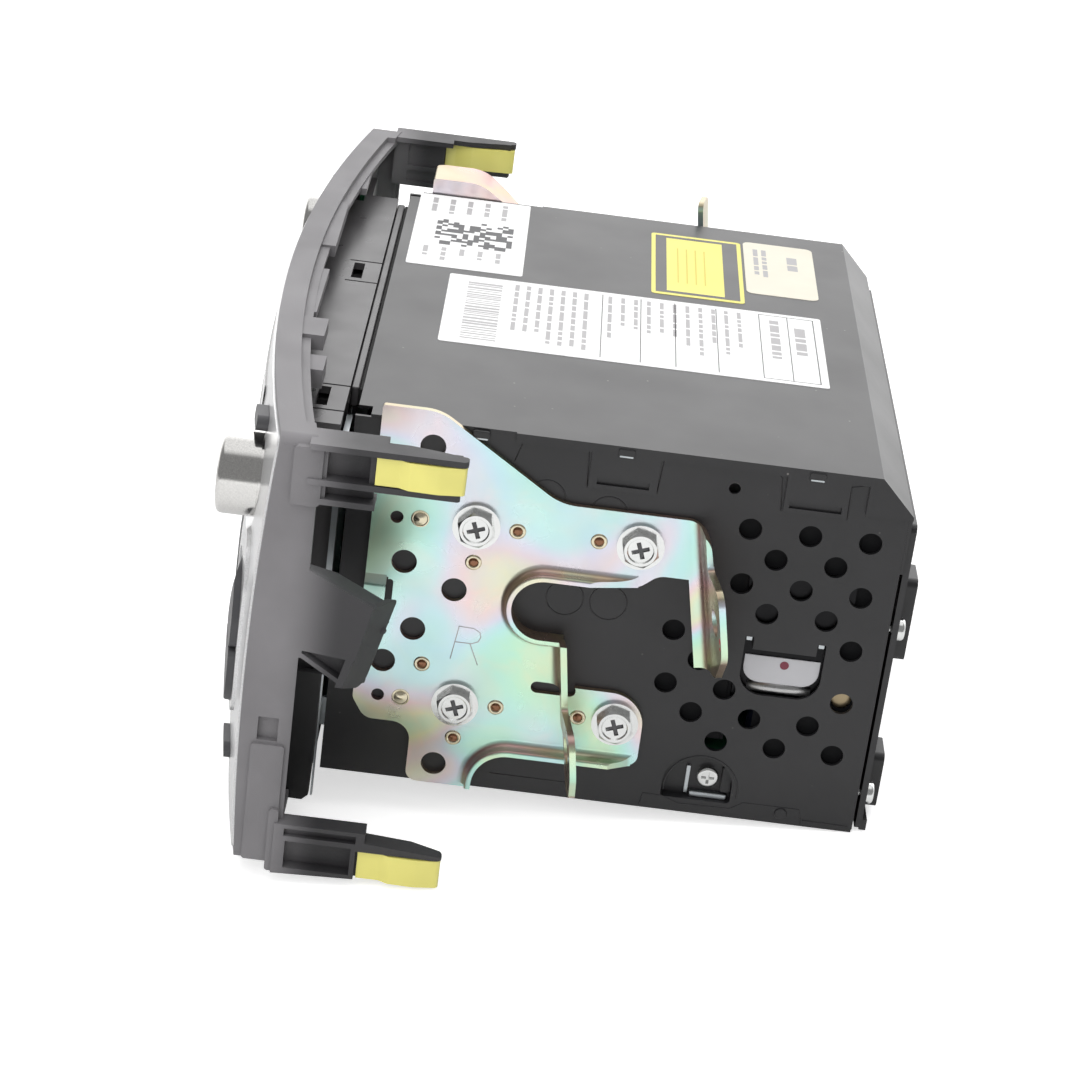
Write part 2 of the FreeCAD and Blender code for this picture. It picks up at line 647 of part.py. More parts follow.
def upper_arm():
    """Right upper trim arm: a web with a flange above and below, set back near the root."""
    z0, z1 = UPPER_ARM_Z
    inner, step_y, tip_inner = UPPER_ARM_INNER
    outline_top = (
        (inner, ARM_ROOT, 0), (ARM_OUT, ARM_ROOT, 0), (ARM_OUT, UPPER_ARM_END, 1.4),
        (tip_inner + 2.0, UPPER_ARM_END, 1.0), (tip_inner + 0.2, UPPER_ARM_END - 7.0, 9.0),
        (tip_inner - 1.2, step_y + 5.0, 6.0), (tip_inner - 1.2, step_y, 0), (inner, step_y, 0),
    )
    web_out = ARM_OUT - 1.8
    web_in = web_out - ARM_WEB
    outline_low = (
        (inner + 2, ARM_ROOT, 0), (ARM_OUT - 0.6, ARM_ROOT, 0),
        (ARM_OUT - 0.6, UPPER_ARM_END - 1, 1.0), (web_in + 0.4, UPPER_ARM_END - 1.5, 1.0),
        (web_in - 0.6, UPPER_ARM_END - 9.0, 6.0), (web_in - 0.6, 9.6, 0), (inner + 2, 7.8, 0),
    )
    top = prism_z(outline_top, (z1 - ARM_FLANGE, z1))
    low = prism_z(outline_low, (z0, z0 + ARM_FLANGE))
    web = box((web_in, web_out), (ARM_CHANNEL_END, UPPER_ARM_END - 1.6), (z0, z1))
    deep = (ARM_OUT - ARM_CHANNEL - ARM_WEB, ARM_OUT - ARM_CHANNEL)
    set_back = box(deep, (ARM_ROOT, ARM_CHANNEL_END + 1.0), (z0, z1))
    step = box((deep[0], web_out), (ARM_CHANNEL_END, ARM_CHANNEL_END + 1.2), (z0, z1))
    shelf = box((inner + 2, ARM_OUT - 1.0), (ARM_ROOT, 8.3), (41.4, 42.9))
    root = box((inner + 2, ARM_OUT - 1.8), (ARM_ROOT, -3.6), (41.4, z1))
    gate = box((deep[0], deep[1]), (ARM_ROOT, 7.6), (41.4, z0 + 1))
    return fused([top, low, web, set_back, step, shelf, root, gate])


def lower_arm():
    """Right lower trim arm, stepped down along its top, with a channel along its side."""
    z0, z1 = LOWER_ARM_Z
    step_y, step_z = LOWER_ARM_STEP
    tip_low, tip_high = LOWER_ARM_TIP
    side = (
        (ARM_ROOT, z0, 0), (LOWER_ARM_END - 0.4, tip_low, 0.8), (LOWER_ARM_END, tip_high, 1.0),
        (step_y, step_z, 0), (step_y, z1, 0), (ARM_ROOT, z1, 0),
    )
    body = prism_x(side, (LOWER_ARM_INNER, ARM_OUT))
    taper = (
        (LOWER_ARM_INNER - 1, ARM_ROOT - 1, 0), (ARM_OUT, ARM_ROOT - 1, 0), (ARM_OUT, LOWER_ARM_END, 1.4),
        (ARM_OUT - 3.0, LOWER_ARM_END, 1.0), (LOWER_ARM_INNER, LOWER_ARM_END - 8.0, 9.0),
        (LOWER_ARM_INNER - 1, LOWER_ARM_END - 14.0, 0),
    )
    body = body.common(prism_z(taper, (z0 - 1, z1 + 1)))
    web_out = ARM_OUT - 1.8
    web_in = web_out - ARM_WEB
    pocket_z = (LOWER_CLIP_Z[0] - FIT, LOWER_CLIP_Z[1] + FIT)
    cuts = [box((web_out, 140), (LOWER_CLIP[0] - 0.6, 40), pocket_z)]
    cuts.append(box((100, web_in), (LOWER_CLIP[0] - 0.6, 40), (z0 - 1, LOWER_CLIP_Z[1] + FIT)))
    channel = (-5.0, LOWER_CLIP[0] - 1.8)
    cuts.append(box((LOWER_ARM_INNER + 1.6, 140), channel, (z0 + ARM_FLANGE + 0.4, z1 - 4.6)))
    cuts.append(box((web_out, 140), (-5.5, 12.4), (z1 - 3.2, z1 - 1.1)))
    cuts.append(box((web_in - 1, 140), (LOWER_CLIP[1] - 1.2, 40), pocket_z))
    return body.cut(cuts)


def slanted(point, normal, thick):
    """A large slab whose face passes through a point and whose body lies behind its normal."""
    slab = Part.makeBox(120, 120, thick, V(-60, -60, -thick))
    slab.Placement = FreeCAD.Placement(V(*point), FreeCAD.Rotation(Z_AXIS, V(*normal)))
    return slab


def gusset():
    """Hollow wedge on the right side of the frame, a guide into the dashboard."""
    out = FRAME_HALF_WIDTH
    inner = out - GUSSET_DEPTH
    face = (
        GUSSET_TOP + (0,), GUSSET_TIP + (0,), GUSSET_HEEL + (0,), GUSSET_FRONT + (0,),
    )
    plate = prism_x(face, (out - GUSSET_WALL, out))
    drop_y = GUSSET_TOE[0] - GUSSET_FRONT[0]
    drop_z = GUSSET_TOE[1] - GUSSET_FRONT[1]
    along = math.hypot(drop_y, drop_z)
    shift_y = -drop_z / along * GUSSET_EDGE
    shift_z = drop_y / along * GUSSET_EDGE
    wall = (
        GUSSET_FRONT + (0,), (GUSSET_TOE[0] + drop_y / 2, GUSSET_TOE[1] + drop_z / 2, 0),
        (GUSSET_TOE[0] + drop_y / 2 + shift_y, GUSSET_TOE[1] + drop_z / 2 + shift_z, 0),
        (GUSSET_FRONT[0] + shift_y, GUSSET_FRONT[1] + shift_z, 0),
    )
    low_wall = prism_x(wall, (inner, out))
    inset_face = (
        GUSSET_FRONT + (0,), (GUSSET_TOE[0] + drop_y / 2, GUSSET_TOE[1] + drop_z / 2, 0),
        (GUSSET_HEEL[0] + drop_y / 2, GUSSET_HEEL[1], 0),
    )
    inset = prism_x(inset_face, (out - 4.6, out - 3.2))
    run_y = GUSSET_TIP[0] - GUSSET_TOP[0]
    run_z = GUSSET_TIP[1] - GUSSET_TOP[1]
    plan = (
        (out - 2.4, GUSSET_TOP[0], 0), (out, GUSSET_TOP[0], 0), (out, 40, 0), (inner, 40, 0), (inner, 0.5, 0),
    )
    ridge_normal = (-GUSSET_RIDGE_SLOPE, -run_z / run_y, 1)
    ridge = slanted((out,) + GUSSET_TOP, ridge_normal, GUSSET_WALL).common(prism_z(plan, (-20, 60)))
    slope_x, slope_z = GUSSET_END_SLOPE
    end_normal = (slope_x, 1, slope_z)
    ahead = slanted((out,) + GUSSET_TIP, end_normal, 60)
    filled = fused([low_wall, inset, ridge]).common(ahead)
    far_low, near_low, near_high, far_high = GUSSET_END_Z
    end_face = (
        (out, near_low, 0.6), (out, near_high, 0.4), (inner, far_high, 2.0), (inner, far_low, 2.6),
    )
    end = prism_y(end_face, (-20, 40)).common(slanted((out,) + GUSSET_TIP, end_normal, GUSSET_WALL))
    nub_z, nub_radius = GUSSET_NUB
    nub_y = GUSSET_TIP[0] - slope_x * (1.4 - GUSSET_DEPTH) - slope_z * (nub_z - GUSSET_TIP[1])
    nub_foot = V(inner + 1.4, nub_y, nub_z) - V(*end_normal) * 0.6
    nub = Part.makeCone(nub_radius * 1.2, nub_radius * 0.6, 1.5, nub_foot, V(*end_normal))
    root = box((out - 3.4, out), (-13.0, GUSSET_FRONT[0] + 1.2), (GUSSET_FRONT[1], GUSSET_TOP[1]))
    low_root = box((inner + 2, out), (-13.0, GUSSET_FRONT[0] + 2.0), (GUSSET_FRONT[1] - 1.0, GUSSET_FRONT[1] + 1.4))
    return fused([plate, filled, end, nub, root, low_root])


def fascia_frame():
    """Dark trim frame: domed ring, web behind the panel, arms, gussets and rear tabs."""
    half = FRAME_HALF_WIDTH
    z0, z1 = FRAME_Z
    ring = prism_y(rounded((-half, half), (z0, z1), FRAME_CORNER), (-45, 10))
    hole = prism_y(
        rounded((-half + FRAME_WALL, half - FRAME_WALL), (z0 + FRAME_WALL, z1 - FRAME_WALL), 3.0),
        (-46, 11),
    )
    inlay = prism_y(
        grown(rounded((-PANEL_HALF_WIDTH, PANEL_HALF_WIDTH), PANEL_Z, PANEL_CORNER), RIM_FIT), (-50, 0),
    )
    web_front = PANEL_FRONT + PANEL_THICKNESS + RUNNING
    rim = ring.common(bow(FRAME_FRONT)).cut(rear_bow(FRAME_REAR))
    window_x, window_low, window_high = WEB_WINDOW
    window = prism_y(rounded((-window_x, window_x), (window_low, window_high), 4.0), (-46, 11))
    web = ring.common(bow(web_front)).cut(bow(web_front + WEB_THICKNESS)).cut(window)
    rim = rim.cut(hole).cut(inlay.cut(bow(web_front)))
    ledge = box((-half + 10, half - 10), (-40, 10), (z1 - FRAME_LEDGE, z1 + 1))
    rim = rim.cut(ledge.common(rear_bow(FRAME_LEDGE_REAR)))
    right = [upper_arm(), lower_arm(), gusset()]
    y0, y1, low, high = UPPER_PAD
    right.append(prism_x(rounded((y0, y1), (low, high), 1.2), (half - 1, half + PAD_PROUD)))
    y0, y1, low, high = LOWER_PAD
    right.append(prism_x(rounded((y0, y1), (low, high), 0.8), (half - 1, half + 0.8)))
    y0, y1, low, high = REAR_RIB
    right.append(prism_x(rounded((y0, y1), (low, high), 0.8), (half - 1, half + 1.8)))
    low_rear, high_rear = SIDE_REAR
    right.append(box((half - 2.4, half), (-14, low_rear), (z0 + 2, 2.0)))
    right.append(box((half - 2.4, half), (-14, high_rear), (0.0, z1 - 2)))
    tabs = []
    for x0, x1, y1, low, high in TOP_TABS:
        x = (x0 + x1) / 2
        tabs.append(box((x0, x1), (rear_y(FRAME_REAR, x) - 3.4, y1), (low, high)))
    for x in (-100.0, -60.0, 0.0, 60.0, 100.0):
        y = rear_y(FRAME_REAR, x)
        tabs.append(box((x - 5, x + 5), (y - 3.0, y + 3.0), (z0 + 1.2, z0 + 4.0)))
    for z in TRIM_SCREW_HEIGHTS:
        web_y = bow_y(web_front + 1.0, TRIM_SCREW_X, z)
        right.append(rod(3.0, (TRIM_SCREW_X, web_y, z), (TRIM_SCREW_X, FLANGE_Y[0] - TOUCH, z)))
    whole = fused([rim, web] + right + [mirrored(piece) for piece in right] + tabs)
    cuts = []
    y0, y1, low, high = SIDE_POCKET
    for side in (-1, 1):
        cuts.append(box((side * (half - 1.8), side * (half + 3)), (y0, y1), (low, high)))
        for z in TRIM_SCREW_HEIGHTS:
            x = side * TRIM_SCREW_X
            cuts.append(rod(1.3, (x, -24, z), (x, -10, z)))
    return whole.cut(cuts)


def button_outlines():
    """Name, (x, z) outline and height above the panel of each push button."""
    found = []
    wide, high = PRESET_SIZE
    pitch_x, pitch_z = PRESET_PITCH
    for index in range(6):
        x = (index % 3 - 1) * pitch_x
        z = PRESET_TOP - (index // 3) * pitch_z
        corners = rounded((x - wide / 2, x + wide / 2), (z - high / 2, z + high / 2), 2.0)
        found.append(("preset_%d" % (index + 1), corners, BUTTON_PROUD))
    a, b = CLUSTER_HALF
    for side, word in ((1, "seek"), (-1, "folder")):
        x = side * CLUSTER_X
        for up, name in ((1, "up"), (-1, "down")):
            near = CLUSTER_Z + up * CLUSTER_GAP / 2
            far = CLUSTER_Z + up * b
            ends = sorted((near, far))
            big, small = a - 1.5, 1.5
            low_r, high_r = (small, big) if up > 0 else (big, small)
            corners = (
                (x - a, ends[0], low_r), (x + a, ends[0], low_r),
                (x + a, ends[1], high_r), (x - a, ends[1], high_r),
            )
            found.append((word + "_" + name, corners, CLUSTER_PROUD))
    for side, name in ((1, "eject_button"), (-1, "clock_button")):
        x = side * (CLUSTER_X + 1.0)
        wide, high = TOP_BUTTON_SIZE
        corners = rounded((x - wide / 2, x + wide / 2), (TOP_BUTTON_Z - high / 2, TOP_BUTTON_Z + high / 2), 1.9)
        found.append((name, corners, TOP_BUTTON_PROUD))
    for side, name in ((1, "disc_button"), (-1, "radio_button")):
        x = side * CLUSTER_X
        wide, high = SIDE_BUTTON_SIZE
        corners = rounded((x - wide / 2, x + wide / 2), (LOW_BUTTON_Z - high / 2, LOW_BUTTON_Z + high / 2), 2.1)
        found.append((name, corners, SIDE_BUTTON_PROUD))
    return found


def grown(corners, amount):
    """An outline moved out from its centre by an amount on each side."""
    middle_a = (min(c[0] for c in corners) + max(c[0] for c in corners)) / 2
    middle_b = (min(c[1] for c in corners) + max(c[1] for c in corners)) / 2
    return tuple(
        (
            a + math.copysign(amount, a - middle_a),
            b + math.copysign(amount, b - middle_b),
            radius + amount,
        )
        for a, b, radius in corners
    )


def centre(corners):
    """The centre of an outline's box."""
    return (
        (min(c[0] for c in corners) + max(c[0] for c in corners)) / 2,
        (min(c[1] for c in corners) + max(c[1] for c in corners)) / 2,
    )


def button(corners, proud):
    """A push button: a crowned cap with a stem that stops short of its switch."""
    end = BOARD_FRONT - SWITCH_HEIGHT - BUTTON_TRAVEL - 0.1
    x, z = centre(corners)
    front = PANEL_FRONT - proud
    cap = prism_y(corners, (-50, end)).common(bow(front))
    if proud == CLUSTER_PROUD:
        dome = crown(side=1 if x > 0 else -1)
        cap = cap.common(dome)
    if abs(x) > 75:
        return cap
    back = bow(front + 4.0)
    stem = box((x - 2.5, x + 2.5), (front, end), (z - 2.5, z + 2.5)).common(bow(front + 3.5))
    return fused([cap.cut(back), stem])


def crown(side):
    """The domed front that the two keys of a cluster share."""
    half_height = CLUSTER_HALF[1]
    middle = bow_y(PANEL_FRONT, CLUSTER_X, CLUSTER_Z) - CLUSTER_PROUD
    sag = CLUSTER_PROUD - 0.4
    radius = (half_height ** 2 + sag ** 2) / (2 * sag)
    centre_point = V(side * CLUSTER_X - 60, middle + radius, CLUSTER_Z)
    return Part.makeCylinder(radius, 120, centre_point, X_AXIS)


def silver_panel():
    """Domed front panel with its openings, knob wells and the rims round the clusters."""
    shape = prism_y(rounded((-PANEL_HALF_WIDTH, PANEL_HALF_WIDTH), PANEL_Z, PANEL_CORNER), (-50, 0))
    panel = between_bows(shape, PANEL_FRONT, PANEL_FRONT + PANEL_THICKNESS)
    pieces = [panel]
    cuts = []
    for side in (-1, 1):
        x = side * KNOB_X
        hole = KNOB_RADIUS + KNOB_GAP
        well_back = KNOB_BACK + KNOB_PUSH + 0.4
        boss = rod(hole + WELL_WALL, (x, PANEL_FRONT - 3, KNOB_Z), (x, well_back, KNOB_Z))
        pieces.append(boss.common(bow(PANEL_FRONT + 1.0)))
        a, b = CLUSTER_HALF
        low, high = CLUSTER_Z - b - CLUSTER_RIM, KNOB_Z - hole - 1.4
        rim = prism_y(rounded((x - a - CLUSTER_RIM, x + a + CLUSTER_RIM), (low, high), a - 1), (-50, 0))
        pieces.append(between_bows(rim, PANEL_FRONT - CLUSTER_RIM_PROUD, PANEL_FRONT + 1.0))
        cuts.append(rod(hole, (x, -50, KNOB_Z), (x, 0, KNOB_Z)))
        dish_y = bow_y(PANEL_FRONT, KNOB_X, KNOB_Z)
        cuts.append(Part.makeCone(DISH_RADIUS + 4, hole, 6.0, V(x, dish_y - 4.8, KNOB_Z), Y_AXIS))
    for name, corners, proud in button_outlines():
        cuts.append(prism_y(grown(corners, FIT), (-50, 0)))
    lens = rounded((-LENS_HALF_WIDTH - 0.15, LENS_HALF_WIDTH + 0.15), (LENS_Z[0] - 0.15, LENS_Z[1] + 0.15), 3.0)
    cuts.append(prism_y(lens, (-50, 0)).cut(bow(LENS_LEDGE)))
    ledge = rounded((-LENS_HALF_WIDTH + 2.5, LENS_HALF_WIDTH - 2.5), (LENS_Z[0] + 2.5, LENS_Z[1] - 2.5), 2.0)
    cuts.append(prism_y(ledge, (-50, 0)))
    return fused(pieces).cut(cuts)


def display_lens():
    """Dark window over the display, with the disc slot through it."""
    corners = rounded((-LENS_HALF_WIDTH, LENS_HALF_WIDTH), LENS_Z, 3.0)
    lens = between_bows(prism_y(corners, (-50, 0)), LENS_FRONT, LENS_LEDGE - TOUCH)
    return lens.cut(slot_space(-50, 0))


def lcd_module():
    """The display in its frame, standing on the front board."""
    front = bow_y(LENS_LEDGE, 0, LENS_Z[0]) + 4.2
    return prism_y(rounded((-54, 54), (6.0, 31.0), 1.5), (front, BOARD_FRONT - TOUCH))


def front_board():
    """Control board with one switch behind each button."""
    x = (-BOARD_HALF_WIDTH, BOARD_HALF_WIDTH)
    y = (BOARD_FRONT, BOARD_FRONT + BOARD_THICKNESS)
    pieces = [prism_y(rounded(x, BOARD_Z, 4.0), y)]
    for name, corners, proud in button_outlines():
        cx, cz = centre(corners)
        cz = min(cz, BOARD_Z[1] - 1.0)
        if name in ("eject_button", "clock_button"):
            pieces.append(box((cx - 5, cx + 5), (BOARD_FRONT, BOARD_FRONT + 1.2), (40, 50.5)))
            cz = TOP_BUTTON_Z - 1.0
        y_switch = (BOARD_FRONT - SWITCH_HEIGHT, BOARD_FRONT + 0.5)
        pieces.append(box((cx - 2, cx + 2), y_switch, (cz - 2, cz + 2)))
    board = fused(pieces)
    duct_z = (SLOT_Z - SLOT_HEIGHT / 2 - 2.0, SLOT_Z + SLOT_HEIGHT / 2 + 2.0)
    cuts = [box((-SLOT_HALF_WIDTH - 2.6, SLOT_HALF_WIDTH + 2.6), (-40, 0), duct_z)]
    for side in (-1, 1):
        cx = side * KNOB_X
        cuts.append(box((cx - 6.6, cx + 6.6), (-40, 0), (KNOB_Z - 6.6, KNOB_Z + 6.6)))
    return board.cut(cuts)


def encoder(side):
    """Rotary switch body that sits in the board, bored for its push shaft."""
    x = side * KNOB_X
    front = BOARD_FRONT - TOUCH
    body = box((x - 6.3, x + 6.3), (front - 1.2, -11.0), (KNOB_Z - 6.3, KNOB_Z + 6.3))
    lugs = box((x - 8.4, x + 8.4), (front - 1.2, front), (KNOB_Z - 3.0, KNOB_Z + 3.0))
    bore = rod(KNOB_BORE + RUNNING, (x, -30, KNOB_Z), (x, -12.2, KNOB_Z))
    return body.fuse(lugs).removeSplitter().cut(bore)


def knob_shaft(side):
    """Push shaft from inside the encoder to the knob."""
    x = side * KNOB_X
    back = -12.2 - KNOB_PUSH - 0.2
    front = KNOB_FRONT + 2.2
    shaft = rod(KNOB_BORE, (x, front, KNOB_Z), (x, back, KNOB_Z))
    collar = rod(KNOB_BORE + 0.7, (x, KNOB_BACK + 0.1, KNOB_Z), (x, KNOB_BACK + 0.6, KNOB_Z))
    return shaft.fuse(collar).removeSplitter()


def knob(side):
    """Turned knob with a softened front edge, a dished face and a grip groove."""
    x = side * KNOB_X
    body = rod(KNOB_RADIUS, (x, KNOB_FRONT, KNOB_Z), (x, KNOB_BACK, KNOB_Z))
    round_edges = [edge for edge in body.Edges if abs(edge.BoundBox.YMax - KNOB_FRONT) < 0.01]
    body = body.makeFillet(1.4, round_edges)
    dish = Part.makeSphere(60.0, V(x, KNOB_FRONT - 59.5, KNOB_Z))
    bore = rod(KNOB_BORE + RUNNING, (x, KNOB_FRONT + 2.0, KNOB_Z), (x, 0, KNOB_Z))
    mark = box((x - 0.4, x + 0.4), (KNOB_FRONT - 1, KNOB_FRONT + 0.9), (KNOB_Z + 5.0, KNOB_Z + 9.4))
    groove = rod(KNOB_RADIUS + 2, (x, KNOB_BACK - 1.6, KNOB_Z), (x, KNOB_BACK - 0.9, KNOB_Z))
    core = rod(KNOB_RADIUS - 0.5, (x, KNOB_BACK - 2, KNOB_Z), (x, KNOB_BACK, KNOB_Z))
    return body.cut([dish, bore, mark, groove.cut(core)])


def bracket_base(top_rise):
    """The bracket's outline in (y, z), before its holes."""
    top = 53.5 + top_rise
    upper = (UPPER_FLANGE_Y, UPPER_HOLE_Z, UPPER_LEAN, UPPER_BEND, UPPER_SWEEP)
    lower = (LOWER_FLANGE_Y, LOWER_HOLE_Z, LOWER_LEAN, LOWER_BEND, LOWER_SWEEP)
    high = ARM_TOP
    low_top = LOWER_TOP
    arm_top = ROOT_BOTTOM - 0.6
    return (
        (6.2, -27.5, 3.0), (6.2, top, 0.8), (20.5, top, 12.0), (52.5, high, 14.0),
        (bend_line(upper, high), high, 0), (bend_line(upper, TONGUE_TOP), TONGUE_TOP, 0),
        (79.0, TONGUE_TOP, 5.0), (74.5, 12.9, 5.0), (51.6, 12.9, 0), (51.6, low_top, 0),
        (bend_line(lower, low_top), low_top, 0), (bend_line(lower, arm_top), arm_top, 0),
        (80.6, arm_top, 9.0), (80.6, -37.6, 3.0), (38.8, -37.6, 9.0), (38.8, -49.6, 0.6),
        (21.8, -49.6, 3.0), (21.8, -33.0, 5.0), (9.6, -33.0, 4.0),
    )


def bend_line(flange, z):
    """The Y where the sheet starts to bend into a leaning flange, at a height."""
    face_y, hole_z, lean, inner, sweep = flange
    angle = math.radians(lean)
    return face_y - bend_reach(inner, sweep) / math.cos(angle) - (z - hole_z) * math.tan(angle)


def bend_reach(inner, sweep):
    """How far a bend starts ahead of the flange's face at the mounting hole."""
    turn = math.radians(sweep)
    arm = MOUNT_X - CASE_WIDTH / 2 - BRACKET_SHEET - inner + inner * math.sin(turn)
    return inner * math.cos(turn) + arm * math.tan(turn)


def flange_bend(flange, z, outline_xz):
    """A flange bent outward: bend and swept plate, cut to an outline, leaned and drilled."""
    plane = CASE_WIDTH / 2
    face_y, hole_z, lean, inner, sweep = flange
    outer = inner + BRACKET_SHEET
    bend_y = face_y - bend_reach(inner, sweep)
    x = plane + BRACKET_SHEET + inner
    ring = rod(outer, (x, bend_y, min(z)), (x, bend_y, max(z)))
    ring = ring.cut(rod(inner, (x, bend_y, min(z) - 1), (x, bend_y, max(z) + 1)))
    sector = box((x - 40, x), (bend_y - 40, bend_y + 40), z)
    plate = box((x, plane + 40), (bend_y + inner, bend_y + outer), z)
    for piece in (sector, plate):
        piece.rotate(V(x, bend_y, 0), Z_AXIS, sweep)
    ring = ring.common(box((plane - 1, x + 5), (bend_y, face_y + 5), z)).common(sector)
    tail = box((plane, plane + BRACKET_SHEET), (bend_y - 0.8, bend_y), z)
    whole = fused([tail, ring, plate]).common(prism_y(outline_xz, (face_y - 30, face_y + 20)))
    whole = whole.cut(rod(MOUNT_HOLE, (MOUNT_X, face_y - 5, hole_z), (MOUNT_X, face_y + 6, hole_z)))
    whole.rotate(V(0, face_y, hole_z), X_AXIS, lean)
    return whole


def lip(void, reach_box):
    """The rolled edge round a cut-out: a thin wall that stands out from the sheet."""
    plane = CASE_WIDTH / 2
    x = (plane, plane + BRACKET_SHEET + LIP_REACH)
    outer = prism_x(grown_void(void, BRACKET_SHEET), x)
    return outer.cut(prism_x(void, x)).common(reach_box)


def grown_void(corners, amount):
    """The outline of a cut-out with its closed sides moved out by an amount."""
    wire = outline(corners)
    grown_wire = wire.makeOffset2D(amount)
    points = [vertex.Point for vertex in grown_wire.Vertexes]
    middle_y = sum(point.x for point in points) / len(points)
    middle_z = sum(point.y for point in points) / len(points)
    return tuple(
        (
            a + math.copysign(amount, a - middle_y),
            b + math.copysign(amount, b - middle_z),
            radius + amount if radius > 0 else 0,
        )
        for a, b, radius in corners
    )


def lip_edges(shape, void, grow, rise):
    """The edges along a rolled lip at a height above the outer face of the sheet."""
    level = CASE_WIDTH / 2 + BRACKET_SHEET + rise
    target = outline(grown_void(void, grow))
    found = []
    for edge in shape.Edges:
        bounds = edge.BoundBox
        if abs(bounds.XMin - level) > 1e-4 or abs(bounds.XMax - level) > 1e-4:
            continue
        middle = edge.valueAt((edge.FirstParameter + edge.LastParameter) / 2)
        flat = Part.Vertex(V(middle.y, middle.z, 0))
        if flat.distToShape(target)[0] < 1e-3:
            found.append(edge)
    return found


C_VOID = ((43.5, LOWER_TOP, 8.1), (43.5, 12.9, 8.1), (78.0, 12.9, 0), (78.0, LOWER_TOP, 0))
LOW_VOID = ((38.8, -37.6, 9.0), (92.0, -37.6, 0), (92.0, -60.0, 0), (38.8, -60.0, 0))


